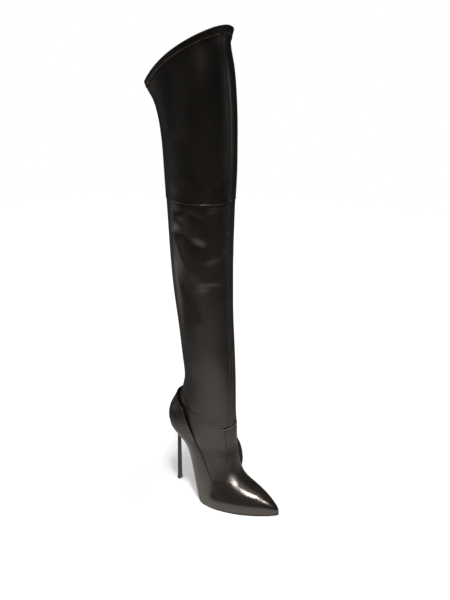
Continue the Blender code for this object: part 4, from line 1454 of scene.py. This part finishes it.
class BOOT_OT_lining(bpy.types.Operator):
    """Line the foot, the leg and the thigh piece"""

    bl_idname = "boot.lining"
    bl_label = "Lining"

    def execute(self, context):
        build_lining()
        return {"FINISHED"}


class BOOT_OT_quarter(bpy.types.Operator):
    """Stand the stiff quarter round the heel"""

    bl_idname = "boot.quarter"
    bl_label = "Quarter"

    def execute(self, context):
        build_quarter()
        return {"FINISHED"}


class BOOT_OT_front_trim(bpy.types.Operator):
    """Lay the throat strip, its bar and the front band"""

    bl_idname = "boot.front_trim"
    bl_label = "Front Trim"

    def execute(self, context):
        build_strip()
        build_bar()
        build_band()
        return {"FINISHED"}


class BOOT_OT_stitching(bpy.types.Operator):
    """Sew the band and the hem"""

    bl_idname = "boot.stitching"
    bl_label = "Stitching"

    def execute(self, context):
        build_stitching()
        return {"FINISHED"}


class BOOT_OT_soles(bpy.types.Operator):
    """Make the outsole and the insole sock"""

    bl_idname = "boot.soles"
    bl_label = "Soles"

    def execute(self, context):
        build_soles()
        return {"FINISHED"}


class BOOT_OT_heel(bpy.types.Operator):
    """Make the plated blade and its rubber top piece"""

    bl_idname = "boot.heel"
    bl_label = "Heel"

    def execute(self, context):
        build_heel()
        build_top_piece()
        return {"FINISHED"}


class BOOT_OT_stage(bpy.types.Operator):
    """Set up the floor, the lights and the camera"""

    bl_idname = "boot.stage"
    bl_label = "Studio"

    def execute(self, context):
        build_stage()
        return {"FINISHED"}


OPERATORS = (
    BOOT_OT_upper, BOOT_OT_shaft, BOOT_OT_thigh, BOOT_OT_lining, BOOT_OT_quarter,
    BOOT_OT_front_trim, BOOT_OT_stitching, BOOT_OT_soles, BOOT_OT_heel, BOOT_OT_stage,
)
SETTINGS = (("boot_sizes", BootSizes), ("boot_looks", BootLooks), ("boot_stage", BootStage))


class BOOT_PT_panel(bpy.types.Panel):
    """Lists the boot's pieces and its settings"""

    bl_idname = "BOOT_PT_panel"
    bl_label = "Over-the-Knee Boot"
    bl_space_type = "VIEW_3D"
    bl_region_type = "UI"
    bl_category = "Boot"

    def draw(self, context):
        for operator in OPERATORS:
            self.layout.operator(operator.bl_idname)
        for name, group in SETTINGS:
            box = self.layout.box()
            for label in group.__annotations__:
                box.prop(getattr(context.scene, name), label)


def register():
    for group in (BootSizes, BootLooks, BootStage, *OPERATORS, BOOT_PT_panel):
        bpy.utils.register_class(group)
    for name, group in SETTINGS:
        setattr(bpy.types.Scene, name, bpy.props.PointerProperty(type=group))


def unregister():
    for name, _ in SETTINGS:
        delattr(bpy.types.Scene, name)
    for group in (BOOT_PT_panel, *reversed(OPERATORS), BootStage, BootLooks, BootSizes):
        bpy.utils.unregister_class(group)


def main():
    """Register the add-on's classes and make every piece."""
    register()
    for operator in OPERATORS:
        group, name = operator.bl_idname.split(".")
        getattr(getattr(bpy.ops, group), name)()


if __name__ == "__main__":
    main()
